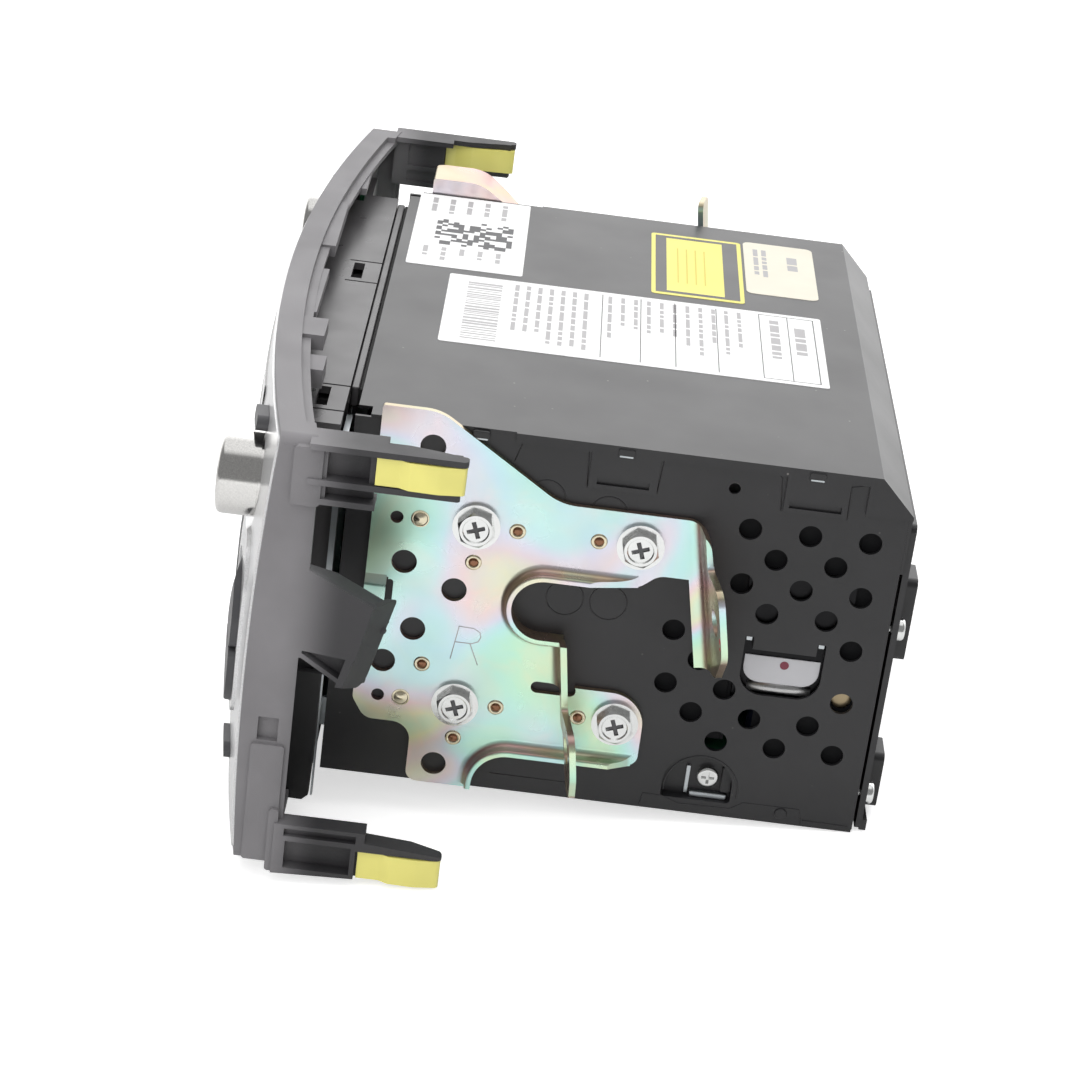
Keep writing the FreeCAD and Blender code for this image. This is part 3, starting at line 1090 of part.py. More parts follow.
def bracket(top_rise):
    """Right-hand bracket with its holes, rolled lips and two bolt flanges."""
    plane = CASE_WIDTH / 2
    sheet_x = (plane, plane + BRACKET_SHEET)
    plate = prism_x(bracket_base(top_rise), sheet_x)
    plate = plate.cut(prism_x(C_VOID, (plane - 1, plane + 5)))
    reach = box((plane, plane + 10), (36.0, 74.4), (5.0, 20.0))
    reach = reach.fuse(box((plane, plane + 10), (36.0, 57.6), (-6.0, 6.0)))
    c_lip = lip(C_VOID, reach)
    low_lip = lip(LOW_VOID, box((plane, plane + 10), (35.0, 79.0), (-48.4, -30.0)))
    lipped = fused([plate, c_lip, low_lip])
    coves = lip_edges(lipped, C_VOID, BRACKET_SHEET, 0) + lip_edges(lipped, LOW_VOID, BRACKET_SHEET, 0)
    lipped = lipped.makeFillet(LIP_COVE, coves)
    crests = lip_edges(lipped, C_VOID, BRACKET_SHEET, LIP_REACH)
    crests += lip_edges(lipped, LOW_VOID, BRACKET_SHEET, LIP_REACH)
    lipped = lipped.makeFillet(LIP_ROUND, crests)
    crest_x = plane + BRACKET_SHEET + LIP_REACH + 0.1
    taper = (
        (crest_x, 62.0, 0), (crest_x + 2, 62.0, 0), (crest_x + 2, 80.0, 0), (plane + BRACKET_SHEET + 0.02, 80.0, 0),
        (plane + BRACKET_SHEET + 0.02, 74.3, 0),
    )
    lipped = lipped.cut(prism_z(taper, (5.0, 16.4)))
    low_taper = (
        (crest_x, 73.0, 0), (crest_x + 2, 73.0, 0), (crest_x + 2, 84.0, 0),
        (plane + BRACKET_SHEET + 0.02, 84.0, 0), (plane + BRACKET_SHEET + 0.02, 78.9, 3.0),
    )
    lipped = lipped.cut(prism_z(low_taper, (-48.4, -30.0)))
    tip = MOUNT_X + 7.2
    upper_shape = (
        (plane - 1, ARM_TOP + 4, 0), (plane + 8.6, ARM_TOP + 4, 0), (plane + 8.6, 23.4, 1.4),
        (tip, 22.4, 4.0), (tip, 5.0, 8.0), (plane + 10.5, -5.4, 5.0), (plane + 5.0, -6.8, 2.5),
        (plane - 1, -6.4, 0),
    )
    lower_shape = (
        (plane - 1, LOWER_TOP + 3, 0), (plane + 7.4, LOWER_TOP + 3, 0), (plane + 7.4, -20.8, 1.4),
        (tip, -22.0, 4.6), (tip, -33.0, 6.0), (tip - 4.0, -41.0, 3.4), (plane + 12.5, -41.0, 3.0),
        (plane + 10.0, -30.0, 4.0), (plane + 8.0, -26.4, 1.5), (plane + 4.6, -26.4, 0.8),
        (plane + 4.2, ROOT_BOTTOM, 0), (plane - 1, ROOT_BOTTOM, 0),
    )
    upper_flange = (UPPER_FLANGE_Y, UPPER_HOLE_Z, UPPER_LEAN, UPPER_BEND, UPPER_SWEEP)
    lower_flange = (LOWER_FLANGE_Y, LOWER_HOLE_Z, LOWER_LEAN, LOWER_BEND, LOWER_SWEEP)
    upper = flange_bend(upper_flange, (-9.0, 42.0), upper_shape)
    crown_y = bend_line(upper_flange, ARM_TOP) + 5.4
    crest = (
        (60.0, ARM_TOP, 0), (crown_y, ARM_TOP, 6.0), (crown_y + 12.0, -20.0, 0), (60.0, -20.0, 0),
    )
    kept = prism_x(crest, (plane - 2, plane + 9.0)).fuse(box((plane - 2, plane + 30), (60, 120), (-30, 24.4)))
    upper = upper.common(kept)
    lower = flange_bend(lower_flange, (-42.0, 2.0), lower_shape)
    lower = lower.common(box((plane - 2, plane + 30), (40, 80), (-60, LOWER_TOP)))
    whole = fused([lipped, upper, lower])
    cuts = []
    for y, z in BRACKET_HOLES:
        cuts.append(rod(BRACKET_HOLE, (plane - 1, y, z), (plane + 4, y, z)))
    for y, z in BRACKET_PIN_HOLES:
        cuts.append(rod(BRACKET_PIN_HOLE, (plane - 1, y, z), (plane + 4, y, z)))
    for y, z in BRACKET_SCREWS:
        cuts.append(rod(SCREW_HOLE, (plane - 1, y, z), (plane + 4, y, z)))
    y0, y1, z, radius = BRACKET_SLOT
    cuts.append(prism_x(rounded((y0, y1), (z - radius, z + radius), radius * 0.98), (plane - 1, plane + 4)))
    cuts.append(prism_x(rounded((11.6, 13.4), (-6.0, 6.9), 0.88), (plane - 1, plane + 4)))
    cuts.append(box((plane - 1, plane + 4), (0.0, 12.0), (-5.2, 7.4)))
    raised = (
        (plane, 7.5, 0), (plane + FRONT_TAB_RISE, 5.2, 1.0), (plane + FRONT_TAB_RISE, -3.4, 0),
        (plane + FRONT_TAB_RISE + BRACKET_SHEET, -3.4, 0),
        (plane + FRONT_TAB_RISE + BRACKET_SHEET, 5.4, 1.6), (plane + BRACKET_SHEET, 7.9, 0),
    )
    front_tab = prism_y(raised, (6.2, 11.6))
    return whole.cut(cuts).fuse(front_tab).removeSplitter()


LEFT_RISE = 1.2
LEFT_LIP_REACH = 13.0
LEFT_LIP_END = 44.0
LEFT_TAB = (22.0, 44.0, 9.5)
LEFT_TAB_LEAN = 8.0


def left_bracket():
    """Left-hand bracket: higher in front, its top edge turned outward, with a locating tab."""
    plane = CASE_WIDTH / 2
    body = bracket(LEFT_RISE)
    top = 53.5 + LEFT_RISE
    out = plane + BRACKET_SHEET
    far = out + LEFT_LIP_REACH
    edge = ((20.5, top, 12.0), (52.5, ARM_TOP, 14.0))
    under = ((51.6, ARM_TOP - 1.3, 12.4), (19.9, top - BRACKET_SHEET, 10.4))
    band = ((6.2, top, 0.7),) + edge + ((54.0, ARM_TOP, 0), (54.0, ARM_TOP - 1.3, 0)) + under + ((6.2, top - BRACKET_SHEET, 0.7),)
    plan = (
        (plane, 5.0, 0), (far, 5.0, 5.0), (far, 26.0, 9.0), (out + 1.0, LEFT_LIP_END, 3.0), (plane, LEFT_LIP_END, 0),
    )
    turned = prism_x(band, (plane, far + 1)).common(prism_z(plan, (20, 70)))
    tab_low, tab_high, tab_wide = LEFT_TAB
    start = out + UPPER_BEND
    tab_corners = (
        (start, UPPER_HOLE_Z + tab_low / 2, 0), (start + tab_wide, UPPER_HOLE_Z + tab_low / 2, 0),
        (start + tab_wide, UPPER_HOLE_Z + tab_high, 2.4), (start, UPPER_HOLE_Z + tab_high, 2.4),
    )
    tab = prism_y(tab_corners, (UPPER_FLANGE_Y, UPPER_FLANGE_Y + BRACKET_SHEET))
    tab.rotate(V(MOUNT_X, UPPER_FLANGE_Y, 0), Z_AXIS, UPPER_SWEEP)
    tab.rotate(V(0, UPPER_FLANGE_Y, UPPER_HOLE_Z), X_AXIS, LEFT_TAB_LEAN)
    return mirrored(fused([body, turned, tab]))


def flanged_screw(y, z):
    """One hexagon flange screw through the right bracket."""
    seat = CASE_WIDTH / 2 + BRACKET_SHEET + TOUCH
    top = seat + SCREW_HEAD
    flange = rod(SCREW_FLANGE, (seat, y, z), (seat + SCREW_FLANGE_THICK, y, z))
    points = [
        (y + SCREW_HEX * math.cos(math.radians(60 * k + 25)), z + SCREW_HEX * math.sin(math.radians(60 * k + 25)), 0)
        for k in range(6)
    ]
    chamfer = Part.makeCone(SCREW_HEX + 1.4, SCREW_HEX - 0.8, 1.6, V(top - 1.6, y, z), X_AXIS)
    chamfer = chamfer.fuse(rod(SCREW_HEX + 1.4, (seat, y, z), (top - 1.6, y, z)))
    head = prism_x(points, (seat + 1.0, top)).common(chamfer)
    shank = rod(SCREW_SHANK, (seat - SCREW_REACH, y, z), (seat + 0.5, y, z))
    cuts = [
        Part.makeCone(SCREW_DISH - 0.3, SCREW_DISH, SCREW_DISH_DEPTH, V(top - SCREW_DISH_DEPTH, y, z), X_AXIS),
        box((top - 2.2, top + 1), (y - 2.3, y + 2.3), (z - 0.55, z + 0.55)),
        box((top - 2.2, top + 1), (y - 0.55, y + 0.55), (z - 2.3, z + 2.3)),
    ]
    screw = fused([flange, head, shank]).cut(cuts)
    screw.rotate(V(seat, y, z), X_AXIS, 20)
    return screw


def bracket_screws():
    """Four flanged screws on each side."""
    right = [flanged_screw(y, z) for y, z in BRACKET_SCREWS]
    return grouped(right + [mirrored(screw) for screw in right])


def pan_screw(point, direction, reach):
    """A small pan-head screw whose head seats at a point and looks along a direction."""
    head = Part.makeCylinder(2.9, 1.9, V(0, 0, TOUCH))
    rim = [edge for edge in head.Edges if edge.BoundBox.ZMin > 1.8]
    head = head.makeFillet(0.9, rim)
    head = head.cut([
        box((-1.7, 1.7), (-0.38, 0.38), (0.9, 4.0)), box((-0.38, 0.38), (-1.7, 1.7), (0.9, 4.0)),
    ])
    screw = head.fuse(rod(1.2, (0, 0, 0.5 - reach), (0, 0, 0.5))).removeSplitter()
    screw.Placement = FreeCAD.Placement(V(*point), FreeCAD.Rotation(Z_AXIS, V(*direction)))
    return screw


def case_screws():
    """Screws that hold the back, the recess tab and the trim."""
    half = CASE_WIDTH / 2
    found = []
    for z in REAR_SCREW_Z:
        for side in (-1, 1):
            x = side * (half - REAR_FLANGE / 2)
            found.append(pan_screw((x, REAR_Y[1], z), (0, 1, 0), 5.0))
    recess_y = (RECESS[0] + RECESS[1]) / 2 + 2.6
    found.append(pan_screw((half - RECESS_DEPTH, recess_y, -39.8), (1, 0, 0), 4.0))
    for side in (-1, 1):
        for z in TRIM_SCREW_HEIGHTS:
            found.append(pan_screw((side * TRIM_SCREW_X, FLANGE_Y[1], z), (0, 1, 0), 4.6))
    return grouped(found)


def clip(y, z, tip):
    """A spring clip wrapped round the end of a right-hand arm's web."""
    web_out = ARM_OUT - 1.8
    web_in = web_out - ARM_WEB
    out = web_out + TOUCH
    inner = web_in - TOUCH
    y0, y1 = y
    bulge = 1.5
    crown_out = out + CLIP_CROWN
    plan = (
        (out, y0, 0), (out + 0.9, y0, 0), (out + 0.9, y0 + 5.6, 1.6), (crown_out, y0 + 8.0, 1.8),
        (crown_out + 0.2, y1 - 6.0, 5.0), (out + 1.2, tip + 1.4, 1.2), (inner - 0.9, tip + 1.4, 0.8),
        (inner - bulge, y1 - 6.0, 3.0), (inner - bulge, y0 + 8.0, 3.0), (inner - 0.9, y0 + 3, 1.0),
        (inner - 0.9, y0, 0), (inner, y0, 0), (inner, tip + 0.1, 0), (out, tip + 0.1, 0),
    )
    return prism_z(plan, z)


def fascia_clips():
    """Four spring clips, two on each side."""
    upper_z = (UPPER_ARM_Z[0] + ARM_FLANGE + FIT, UPPER_ARM_Z[1] - ARM_FLANGE - FIT)
    right = [clip(UPPER_CLIP, upper_z, UPPER_ARM_END - 1.6), clip(LOWER_CLIP, LOWER_CLIP_Z, LOWER_CLIP[1] - 1.2)]
    return grouped(right + [mirrored(piece) for piece in right])


def main_board():
    """Main circuit board on its four posts."""
    x = (-MAIN_BOARD_HALF_WIDTH, MAIN_BOARD_HALF_WIDTH)
    return box(x, MAIN_BOARD_Y, (MAIN_BOARD_Z, MAIN_BOARD_Z + BOARD_THICKNESS))


def amplifier_chip():
    """Output chip, upright on the board against the back sheet."""
    low = MAIN_BOARD_Z + BOARD_THICKNESS + TOUCH
    body = box((20.0, 48.0), (132.0, REAR_Y[0] - 2.4), (low + 3.0, low + 21.0))
    legs = [box((x, x + 0.8), (129.4, 130.2), (low, low + 6.0)) for x in range(22, 47, 3)]
    bends = [box((x, x + 0.8), (129.4, 132.4), (low + 5.2, low + 6.0)) for x in range(22, 47, 3)]
    pad = box((18.0, 50.0), (REAR_Y[0] - 2.5, REAR_Y[0]), (low + 5.0, low + 22.0))
    return fused([body, pad] + legs + bends)


def capacitors():
    """Smoothing capacitors on the board."""
    low = MAIN_BOARD_Z + BOARD_THICKNESS + TOUCH
    places = ((60, 118, 6.3, 18), (60, 102, 6.3, 18), (76, 112, 4.0, 12), (44, 112, 4.0, 12),
              (66, 86, 4.0, 12), (-70, 96, 5.0, 12), (-70, 82, 5.0, 12), (8, 108, 4.0, 11))
    cans = []
    for x, y, radius, high in places:
        can = rod(radius, (x, y, low), (x, y, low + high))
        top = [edge for edge in can.Edges if edge.BoundBox.ZMin > low + high - 0.01]
        cans.append(can.makeFillet(0.7, top))
    return grouped(cans)


def tuner_module():
    """Screened radio tuner on the board."""
    low = MAIN_BOARD_Z + BOARD_THICKNESS + TOUCH
    can = box((-58.0, -14.0), (54.0, 104.0), (low, low + 13.0))
    cuts = [box((-50.0 + 9 * i, -45.0 + 9 * i), (60, 98), (low + 12.2, low + 14)) for i in range(4)]
    return can.cut(cuts)


def gear(teeth, centre_yz, x, bore, turn):
    """A spur gear about X with slightly thinned teeth for running play."""
    pitch = GEAR_MODULE * teeth / 2
    tip, root = pitch + 0.8, pitch - 1.15
    thickness = ((root - 0.3, 1.02), (pitch, 0.62), (tip, 0.34))
    y, z = centre_yz
    body = rod(root, (min(x), y, z), (max(x), y, z))
    pieces = [body]
    for k in range(teeth):
        angle = 2 * math.pi * k / teeth + math.radians(turn)
        up = (math.cos(angle), math.sin(angle))
        side = (-up[1], up[0])
        points = []
        for sign, order in ((1, thickness), (-1, thickness[::-1])):
            for radius, half in order:
                points.append((y + up[0] * radius + side[0] * half * sign, z + up[1] * radius + side[1] * half * sign, 0))
        pieces.append(prism_x(points, x))
    return fused(pieces).cut(rod(bore, (min(x) - 1, y, z), (max(x) + 1, y, z)))


GEAR_X = (DECK_HALF_WIDTH - 5.0, DECK_HALF_WIDTH - 5.0 + GEAR_THICK)
ROLLER_CENTRE = (ROLLER_Y, ROLLER_Z)


def step_from(point, distance, angle):
    """A point at a distance and an angle from another, in (y, z)."""
    turn = math.radians(angle)
    return (point[0] + distance * math.cos(turn), point[1] + distance * math.sin(turn))


IDLER_CENTRE = step_from(ROLLER_CENTRE, GEAR_MODULE * (ROLLER_TEETH + IDLER_TEETH) / 2, IDLER_ANGLE)
PINION_CENTRE = step_from(IDLER_CENTRE, GEAR_MODULE * (IDLER_TEETH + PINION_TEETH) / 2, PINION_ANGLE)


def mesh_turns():
    """The turn of each gear that puts a tooth of one in a gap of the next."""
    roller = IDLER_ANGLE
    idler = IDLER_ANGLE + 180 + 180 / IDLER_TEETH
    at_pinion = (PINION_ANGLE - idler) % (360 / IDLER_TEETH)
    pinion = PINION_ANGLE + 180 - at_pinion * IDLER_TEETH / PINION_TEETH + 180 / PINION_TEETH
    pinion = PINION_ANGLE + 180 + at_pinion * IDLER_TEETH / PINION_TEETH + 180 / PINION_TEETH
    return roller, idler, pinion


def deck_frame():
    """Deck sheet metal: base, side walls, ears to the case, crossbar and stub axle."""
    half = DECK_HALF_WIDTH
    y0, y1 = DECK_Y
    z0, z1 = DECK_Z
    base = box((-half, half), (y0 + 12, y1), (z0, z0 + DECK_SHEET))
    base = base.cut(box((-50, 74), (36, 110), (z0 - 1, z0 + 3)))
    base = base.cut(box((GEAR_X[0] - 1.0, GEAR_X[1] + 0.8), (9, 46), (z0 - 1, z0 + 3)))
    pieces = [base]
    for side in (-1, 1):
        x = (side * half, side * (half - DECK_SHEET))
        pieces.append(box(x, (y0, y1), (z0, z1)))
        for y in (16.0, 124.0):
            ear_x = (side * half, side * (CASE_WIDTH / 2 - SHEET - TOUCH))
            pieces.append(box(ear_x, (y - 5, y + 5), (z0, z0 + DECK_SHEET)))
            tab_x = (side * (CASE_WIDTH / 2 - SHEET - TOUCH), side * (CASE_WIDTH / 2 - 2 * SHEET))
            pieces.append(box(tab_x, (y - 5, y + 5), (z0 - 7, z0 + DECK_SHEET)))
    pivot_y, pivot_z = CLAMP_PIVOT
    pieces.append(box((-half, half), (pivot_y + 4, pivot_y + 14), (z1 - DECK_SHEET, z1)))
    for side in (-1, 1):
        ear_x = (side * 30.0, side * 31.2)
        pieces.append(box(ear_x, (pivot_y - 4, pivot_y + 6), (pivot_z - 3, z1)))
        pieces.append(box(ear_x, (pivot_y - 4, pivot_y + 14), (z1 - 2, z1)))
    stub_y, stub_z = IDLER_CENTRE
    pieces.append(rod(1.5, (half - 6.0, stub_y, stub_z), (half - 0.5, stub_y, stub_z)))
    pieces.append(rod(2.6, (half - 2.4, stub_y, stub_z), (half - 0.5, stub_y, stub_z)))
    leg_x = (CASE_WIDTH / 2 - SHEET - 1.6, CASE_WIDTH / 2 - SHEET - 0.6)
    pieces.append(box((half - 0.5, leg_x[1]), (102, 126), (z0, z0 + DECK_SHEET)))
    pieces.append(prism_x(rounded((102, 126), (-17.0, z0 + DECK_SHEET), 3.0), leg_x))
    pieces.append(box(leg_x, (102, 126), (z0 - 4, z0 + DECK_SHEET)))
    whole = fused(pieces)
    cuts = []
    for side in (-1, 1):
        cuts.append(rod(1.5 + RUNNING, (side * 28, pivot_y, pivot_z), (side * 33, pivot_y, pivot_z)))
        shaft_x = (side * (half - 3), side * (half + 2))
        hole = rod(1.5 + RUNNING, (shaft_x[0], ROLLER_Y, ROLLER_Z), (shaft_x[1], ROLLER_Y, ROLLER_Z))
        cuts.append(hole)
    return whole.cut(cuts)


def deck_carrier():
    """Floating sheet that carries the spindle, rods and sled."""
    z = (CARRIER_Z, CARRIER_Z + CARRIER_SHEET)
    right = DECK_HALF_WIDTH - 3.0
    sheet = box((-62, right), (39.6, 122), z)
    pieces = [sheet]
    for y in (SPINDLE[1] - ROD_OFFSET, SPINDLE[1] + ROD_OFFSET):
        for x in (10.6, right - 2.6):
            pieces.append(box((x, x + 1.2), (y - 3, y + 3), (CARRIER_Z, ROD_Z + 2.6)))
    for x in (5.0, right - 2.6):
        pieces.append(box((x, x + 1.2), (SCREW_Y - 4, SCREW_Y + 3), (CARRIER_Z, ROD_Z + 3.0)))
    whole = fused(pieces)
    cuts = [box((13.4, right - 4.0), (43, 98), (z[0] - 1, z[1] + 1))]
    cuts.append(rod(12.3, (SPINDLE[0], SPINDLE[1], z[0] - 1), (SPINDLE[0], SPINDLE[1], z[1] + 1)))
    for y in (SPINDLE[1] - ROD_OFFSET, SPINDLE[1] + ROD_OFFSET):
        cuts.append(rod(ROD_RADIUS + TOUCH, (9, y, ROD_Z), (82, y, ROD_Z)))
    cuts.append(rod(SCREW_RADIUS - 0.8 + RUNNING, (2, SCREW_Y, ROD_Z), (82, SCREW_Y, ROD_Z)))
    for x, y in bush_places():
        cuts.append(rod(2.4, (x, y, z[0] - 1), (x, y, z[1] + 1)))
    return whole.cut(cuts)


def bush_places():
    """The four soft mounts of the floating sheet."""
    return ((-56.0, 44.0), (-56.0, 116.0), (DECK_HALF_WIDTH - 7.0, 113.0), (60.0, 116.0))


def damper_bushes():
    """Rubber bushes between the deck base and the floating sheet."""
    low = DECK_Z[0] + DECK_SHEET + TOUCH
    found = []
    for x, y in bush_places():
        body = rod(BUSH_RADIUS, (x, y, low), (x, y, CARRIER_Z - TOUCH))
        neck = rod(2.2, (x, y, low), (x, y, CARRIER_Z + CARRIER_SHEET + 1.6))
        found.append(body.fuse(neck).removeSplitter())
    return grouped(found)


def spindle_motor():
    """Spindle motor with its shaft, hung in the floating sheet."""
    x, y = SPINDLE
    can = rod(12.0, (x, y, 21.6), (x, y, CARRIER_Z + CARRIER_SHEET + 1.2))
    flange = rod(15.0, (x, y, CARRIER_Z + CARRIER_SHEET + TOUCH), (x, y, CARRIER_Z + CARRIER_SHEET + 1.2))
    flange = flange.cut(box((x + 9.6, x + 20), (y - 20, y + 20), (20, 40)))
    shaft = rod(1.0, (x, y, 26.0), (x, y, 37.6))
    return fused([can, flange, shaft])


def turntable():
    """Disc hub on the spindle shaft: a platter with a centring cone."""
    x, y = SPINDLE
    platter = rod(14.2, (x, y, 34.6), (x, y, DISC_PLANE))
    sleeve = rod(3.6, (x, y, 30.2), (x, y, 35.0))
    cone = Part.makeCone(7.4, 5.6, 2.2, V(x, y, DISC_PLANE - 0.6))
    bore = rod(1.0 + RUNNING, (x, y, 29), (x, y, 37.9))
    pads = platter.cut(rod(11.5, (x, y, DISC_PLANE - 0.4), (x, y, DISC_PLANE + 1)))
    return fused([pads, sleeve, cone]).cut(bore)


def clamp_disc():
    """Free-turning clamp that hangs in the arm above the hub."""
    x, y = SPINDLE
    puck = rod(13.5, (x, y, 41.2), (x, y, 42.6)).cut(rod(7.2, (x, y, 41.0), (x, y, 42.0)))
    neck = rod(3.9, (x, y, 42.0), (x, y, 45.0))
    cap = rod(6.4, (x, y, 44.3), (x, y, 45.3))
    return fused([puck, neck, cap])


def clamp_arm():
    """Sprung arm that lowers the clamp on to the disc."""
    pivot_y, pivot_z = CLAMP_PIVOT
    plan = (
        (-10.0, 62.0, 6.0), (10.0, 62.0, 6.0), (12.0, 82.0, 0), (29.6, 108.0, 0), (29.6, 119.0, 0),
        (-29.6, 119.0, 0), (-29.6, 108.0, 0), (-12.0, 82.0, 0),
    )
    plate = prism_z(plan, (pivot_z - 0.6, pivot_z + 0.6))
    hole = rod(3.9 + RUNNING, (SPINDLE[0], SPINDLE[1], 40), (SPINDLE[0], SPINDLE[1], 50))
    pieces = [plate]
    for side in (-1, 1):
        pieces.append(rod(1.5, (side * 28.0, pivot_y, pivot_z), (side * 32.2, pivot_y, pivot_z)))
        pieces.append(rod(1.5, (side * 26.0, pivot_y, pivot_z), (side * 29.4, pivot_y, pivot_z)))
    return fused(pieces).cut(hole)


def pickup_sled():
    """Laser pickup on its two rods, with the lens and the screw follower."""
    x0, x1 = SLED_X
    y = SPINDLE[1]
    body = box((x0, x1), (y - ROD_OFFSET - 4, y + ROD_OFFSET + 4), (29.4, 34.0))
    follower = box((x0 + 6, x0 + 16), (SCREW_Y - 3.4, y - ROD_OFFSET), (29.4, 34.0))
    lens = rod(3.2, ((x0 + x1) / 2, y, 33.5), ((x0 + x1) / 2, y, 35.8))
    bridge = box((x0 + 6, x1 - 5), (y - 8, y + 8), (33.5, 35.0))
    whole = fused([body, follower, lens, bridge])
    cuts = []
    for side in (-1, 1):
        rod_y = y + side * ROD_OFFSET
        cuts.append(rod(ROD_RADIUS + RUNNING, (0, rod_y, ROD_Z), (90, rod_y, ROD_Z)))
    cuts.append(rod(SCREW_RADIUS + RUNNING, (0, SCREW_Y, ROD_Z), (90, SCREW_Y, ROD_Z)))
    return whole.cut(cuts)


def guide_rods():
    """Two steel rods for the sled."""
    found = []
    for side in (-1, 1):
        y = SPINDLE[1] + side * ROD_OFFSET
        found.append(rod(ROD_RADIUS, (10.6, y, ROD_Z), (DECK_HALF_WIDTH - 4.4, y, ROD_Z)))
    return grouped(found)


def lead_screw():
    """Sled screw between its two ears, with a step at each end."""
    core = rod(SCREW_RADIUS, (6.5, SCREW_Y, ROD_Z), (DECK_HALF_WIDTH - 5.9, SCREW_Y, ROD_Z))
    ends = rod(SCREW_RADIUS - 0.8, (3.4, SCREW_Y, ROD_Z), (DECK_HALF_WIDTH - 4.2, SCREW_Y, ROD_Z))
    return core.fuse(ends).removeSplitter()


def sled_motor():
    """Small motor at the end of the sled screw."""
    face = 4.9
    can = rod(5.0, (-16.0, SCREW_Y, ROD_Z + 2.0), (face, SCREW_Y, ROD_Z + 2.0))
    foot = box((-15.0, face), (SCREW_Y - 4, SCREW_Y + 4), (CARRIER_Z + CARRIER_SHEET + TOUCH, ROD_Z))
    bore = rod(SCREW_RADIUS - 0.8 + RUNNING, (3.0, SCREW_Y, ROD_Z), (6.0, SCREW_Y, ROD_Z))
    return can.fuse(foot).removeSplitter().cut(bore)


def loading_roller():
    """Rubber roller on its shaft: two tapered halves that touch only the disc's edge."""
    half = 60.0
    shaft = rod(1.5, (-DECK_HALF_WIDTH - 0.6, ROLLER_Y, ROLLER_Z), (DECK_HALF_WIDTH + 0.6, ROLLER_Y, ROLLER_Z))
    pieces = [shaft]
    for side in (-1, 1):
        start = V(0, ROLLER_Y, ROLLER_Z)
        pieces.append(Part.makeCone(ROLLER_RADIUS - 0.9, ROLLER_RADIUS, half, start, V(side, 0, 0)))
    return fused(pieces)


def roller_gear():
    """Gear fixed on the roller shaft."""
    return gear(ROLLER_TEETH, ROLLER_CENTRE, GEAR_X, 1.5 + TOUCH, mesh_turns()[0])


def idler_gear():
    """Idler between the motor and the roller."""
    return gear(IDLER_TEETH, IDLER_CENTRE, GEAR_X, 1.5 + RUNNING, mesh_turns()[1])


def motor_pinion():
    """Pinion of the loading motor."""
    y, z = PINION_CENTRE
    wheel = gear(PINION_TEETH, PINION_CENTRE, GEAR_X, 0.3, mesh_turns()[2])
    shaft = rod(1.0, (GEAR_X[0] - 16.0, y, z), (GEAR_X[1] - 0.4, y, z))
    return wheel.fuse(shaft).removeSplitter()


def loading_motor():
    """Loading motor on the deck base, behind the gear train."""
    y, z = PINION_CENTRE
    low = DECK_Z[0] + DECK_SHEET + TOUCH
    face = GEAR_X[0] - 1.2
    can = rod(z - low, (face - 24.0, y, z), (face, y, z))
    foot = box((face - 22.0, face - 2.0), (y - 4.0, y + 4.0), (low, z - 2.0))
    bore = rod(1.0 + RUNNING, (GEAR_X[0] - 17.0, y, z), (face + 2, y, z))
    return can.fuse(foot).removeSplitter().cut(bore)


def register():
    """Fill the table of nodes."""
    NODES.update({
        "chassis": chassis, "top_cover": top_cover, "rear_panel": rear_panel,
        "heat_sink": heat_sink, "connector_block": connector_block,
        "connector_pins": connector_pins,
        "antenna_socket": antenna_socket, "front_plate": front_plate,
        "nose_housing": nose_housing, "right_bracket": lambda: bracket(0.0),
        "left_bracket": left_bracket, "bracket_screws": bracket_screws,
        "case_screws": case_screws, "fascia_frame": fascia_frame,
        "silver_panel": silver_panel, "display_lens": display_lens,
        "lcd_module": lcd_module, "front_board": front_board, "fascia_clips": fascia_clips,
        "volume_encoder": lambda: encoder(-1), "tune_encoder": lambda: encoder(1),
        "volume_shaft": lambda: knob_shaft(-1), "tune_shaft": lambda: knob_shaft(1),
        "volume_knob": lambda: knob(-1), "tune_knob": lambda: knob(1),
        "main_board": main_board, "amplifier_chip": amplifier_chip, "capacitors": capacitors,
        "tuner_module": tuner_module, "deck_frame": deck_frame, "deck_carrier": deck_carrier,
        "damper_bushes": damper_bushes, "spindle_motor": spindle_motor,
        "turntable": turntable, "clamp_disc": clamp_disc, "clamp_arm": clamp_arm,
        "pickup_sled": pickup_sled, "guide_rods": guide_rods, "lead_screw": lead_screw,
        "sled_motor": sled_motor, "loading_roller": loading_roller,
        "roller_gear": roller_gear, "idler_gear": idler_gear, "motor_pinion": motor_pinion,
        "loading_motor": loading_motor,
    })
    for name, corners, proud in button_outlines():
        NODES[name] = lambda corners=corners, proud=proud: button(corners, proud)


def main():
    os.makedirs("parts", exist_ok=True)
    register()
    for name, make in NODES.items():
        shape = make()
        shape.translate(DATUM * -1)
        shape.exportStep(os.path.join("parts", name + ".step"))
        print(name, len(shape.Solids), "valid" if shape.isValid() else "NOT VALID")


main()
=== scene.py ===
import math
import random

import bmesh
import bpy
from mathutils import Matrix, Vector


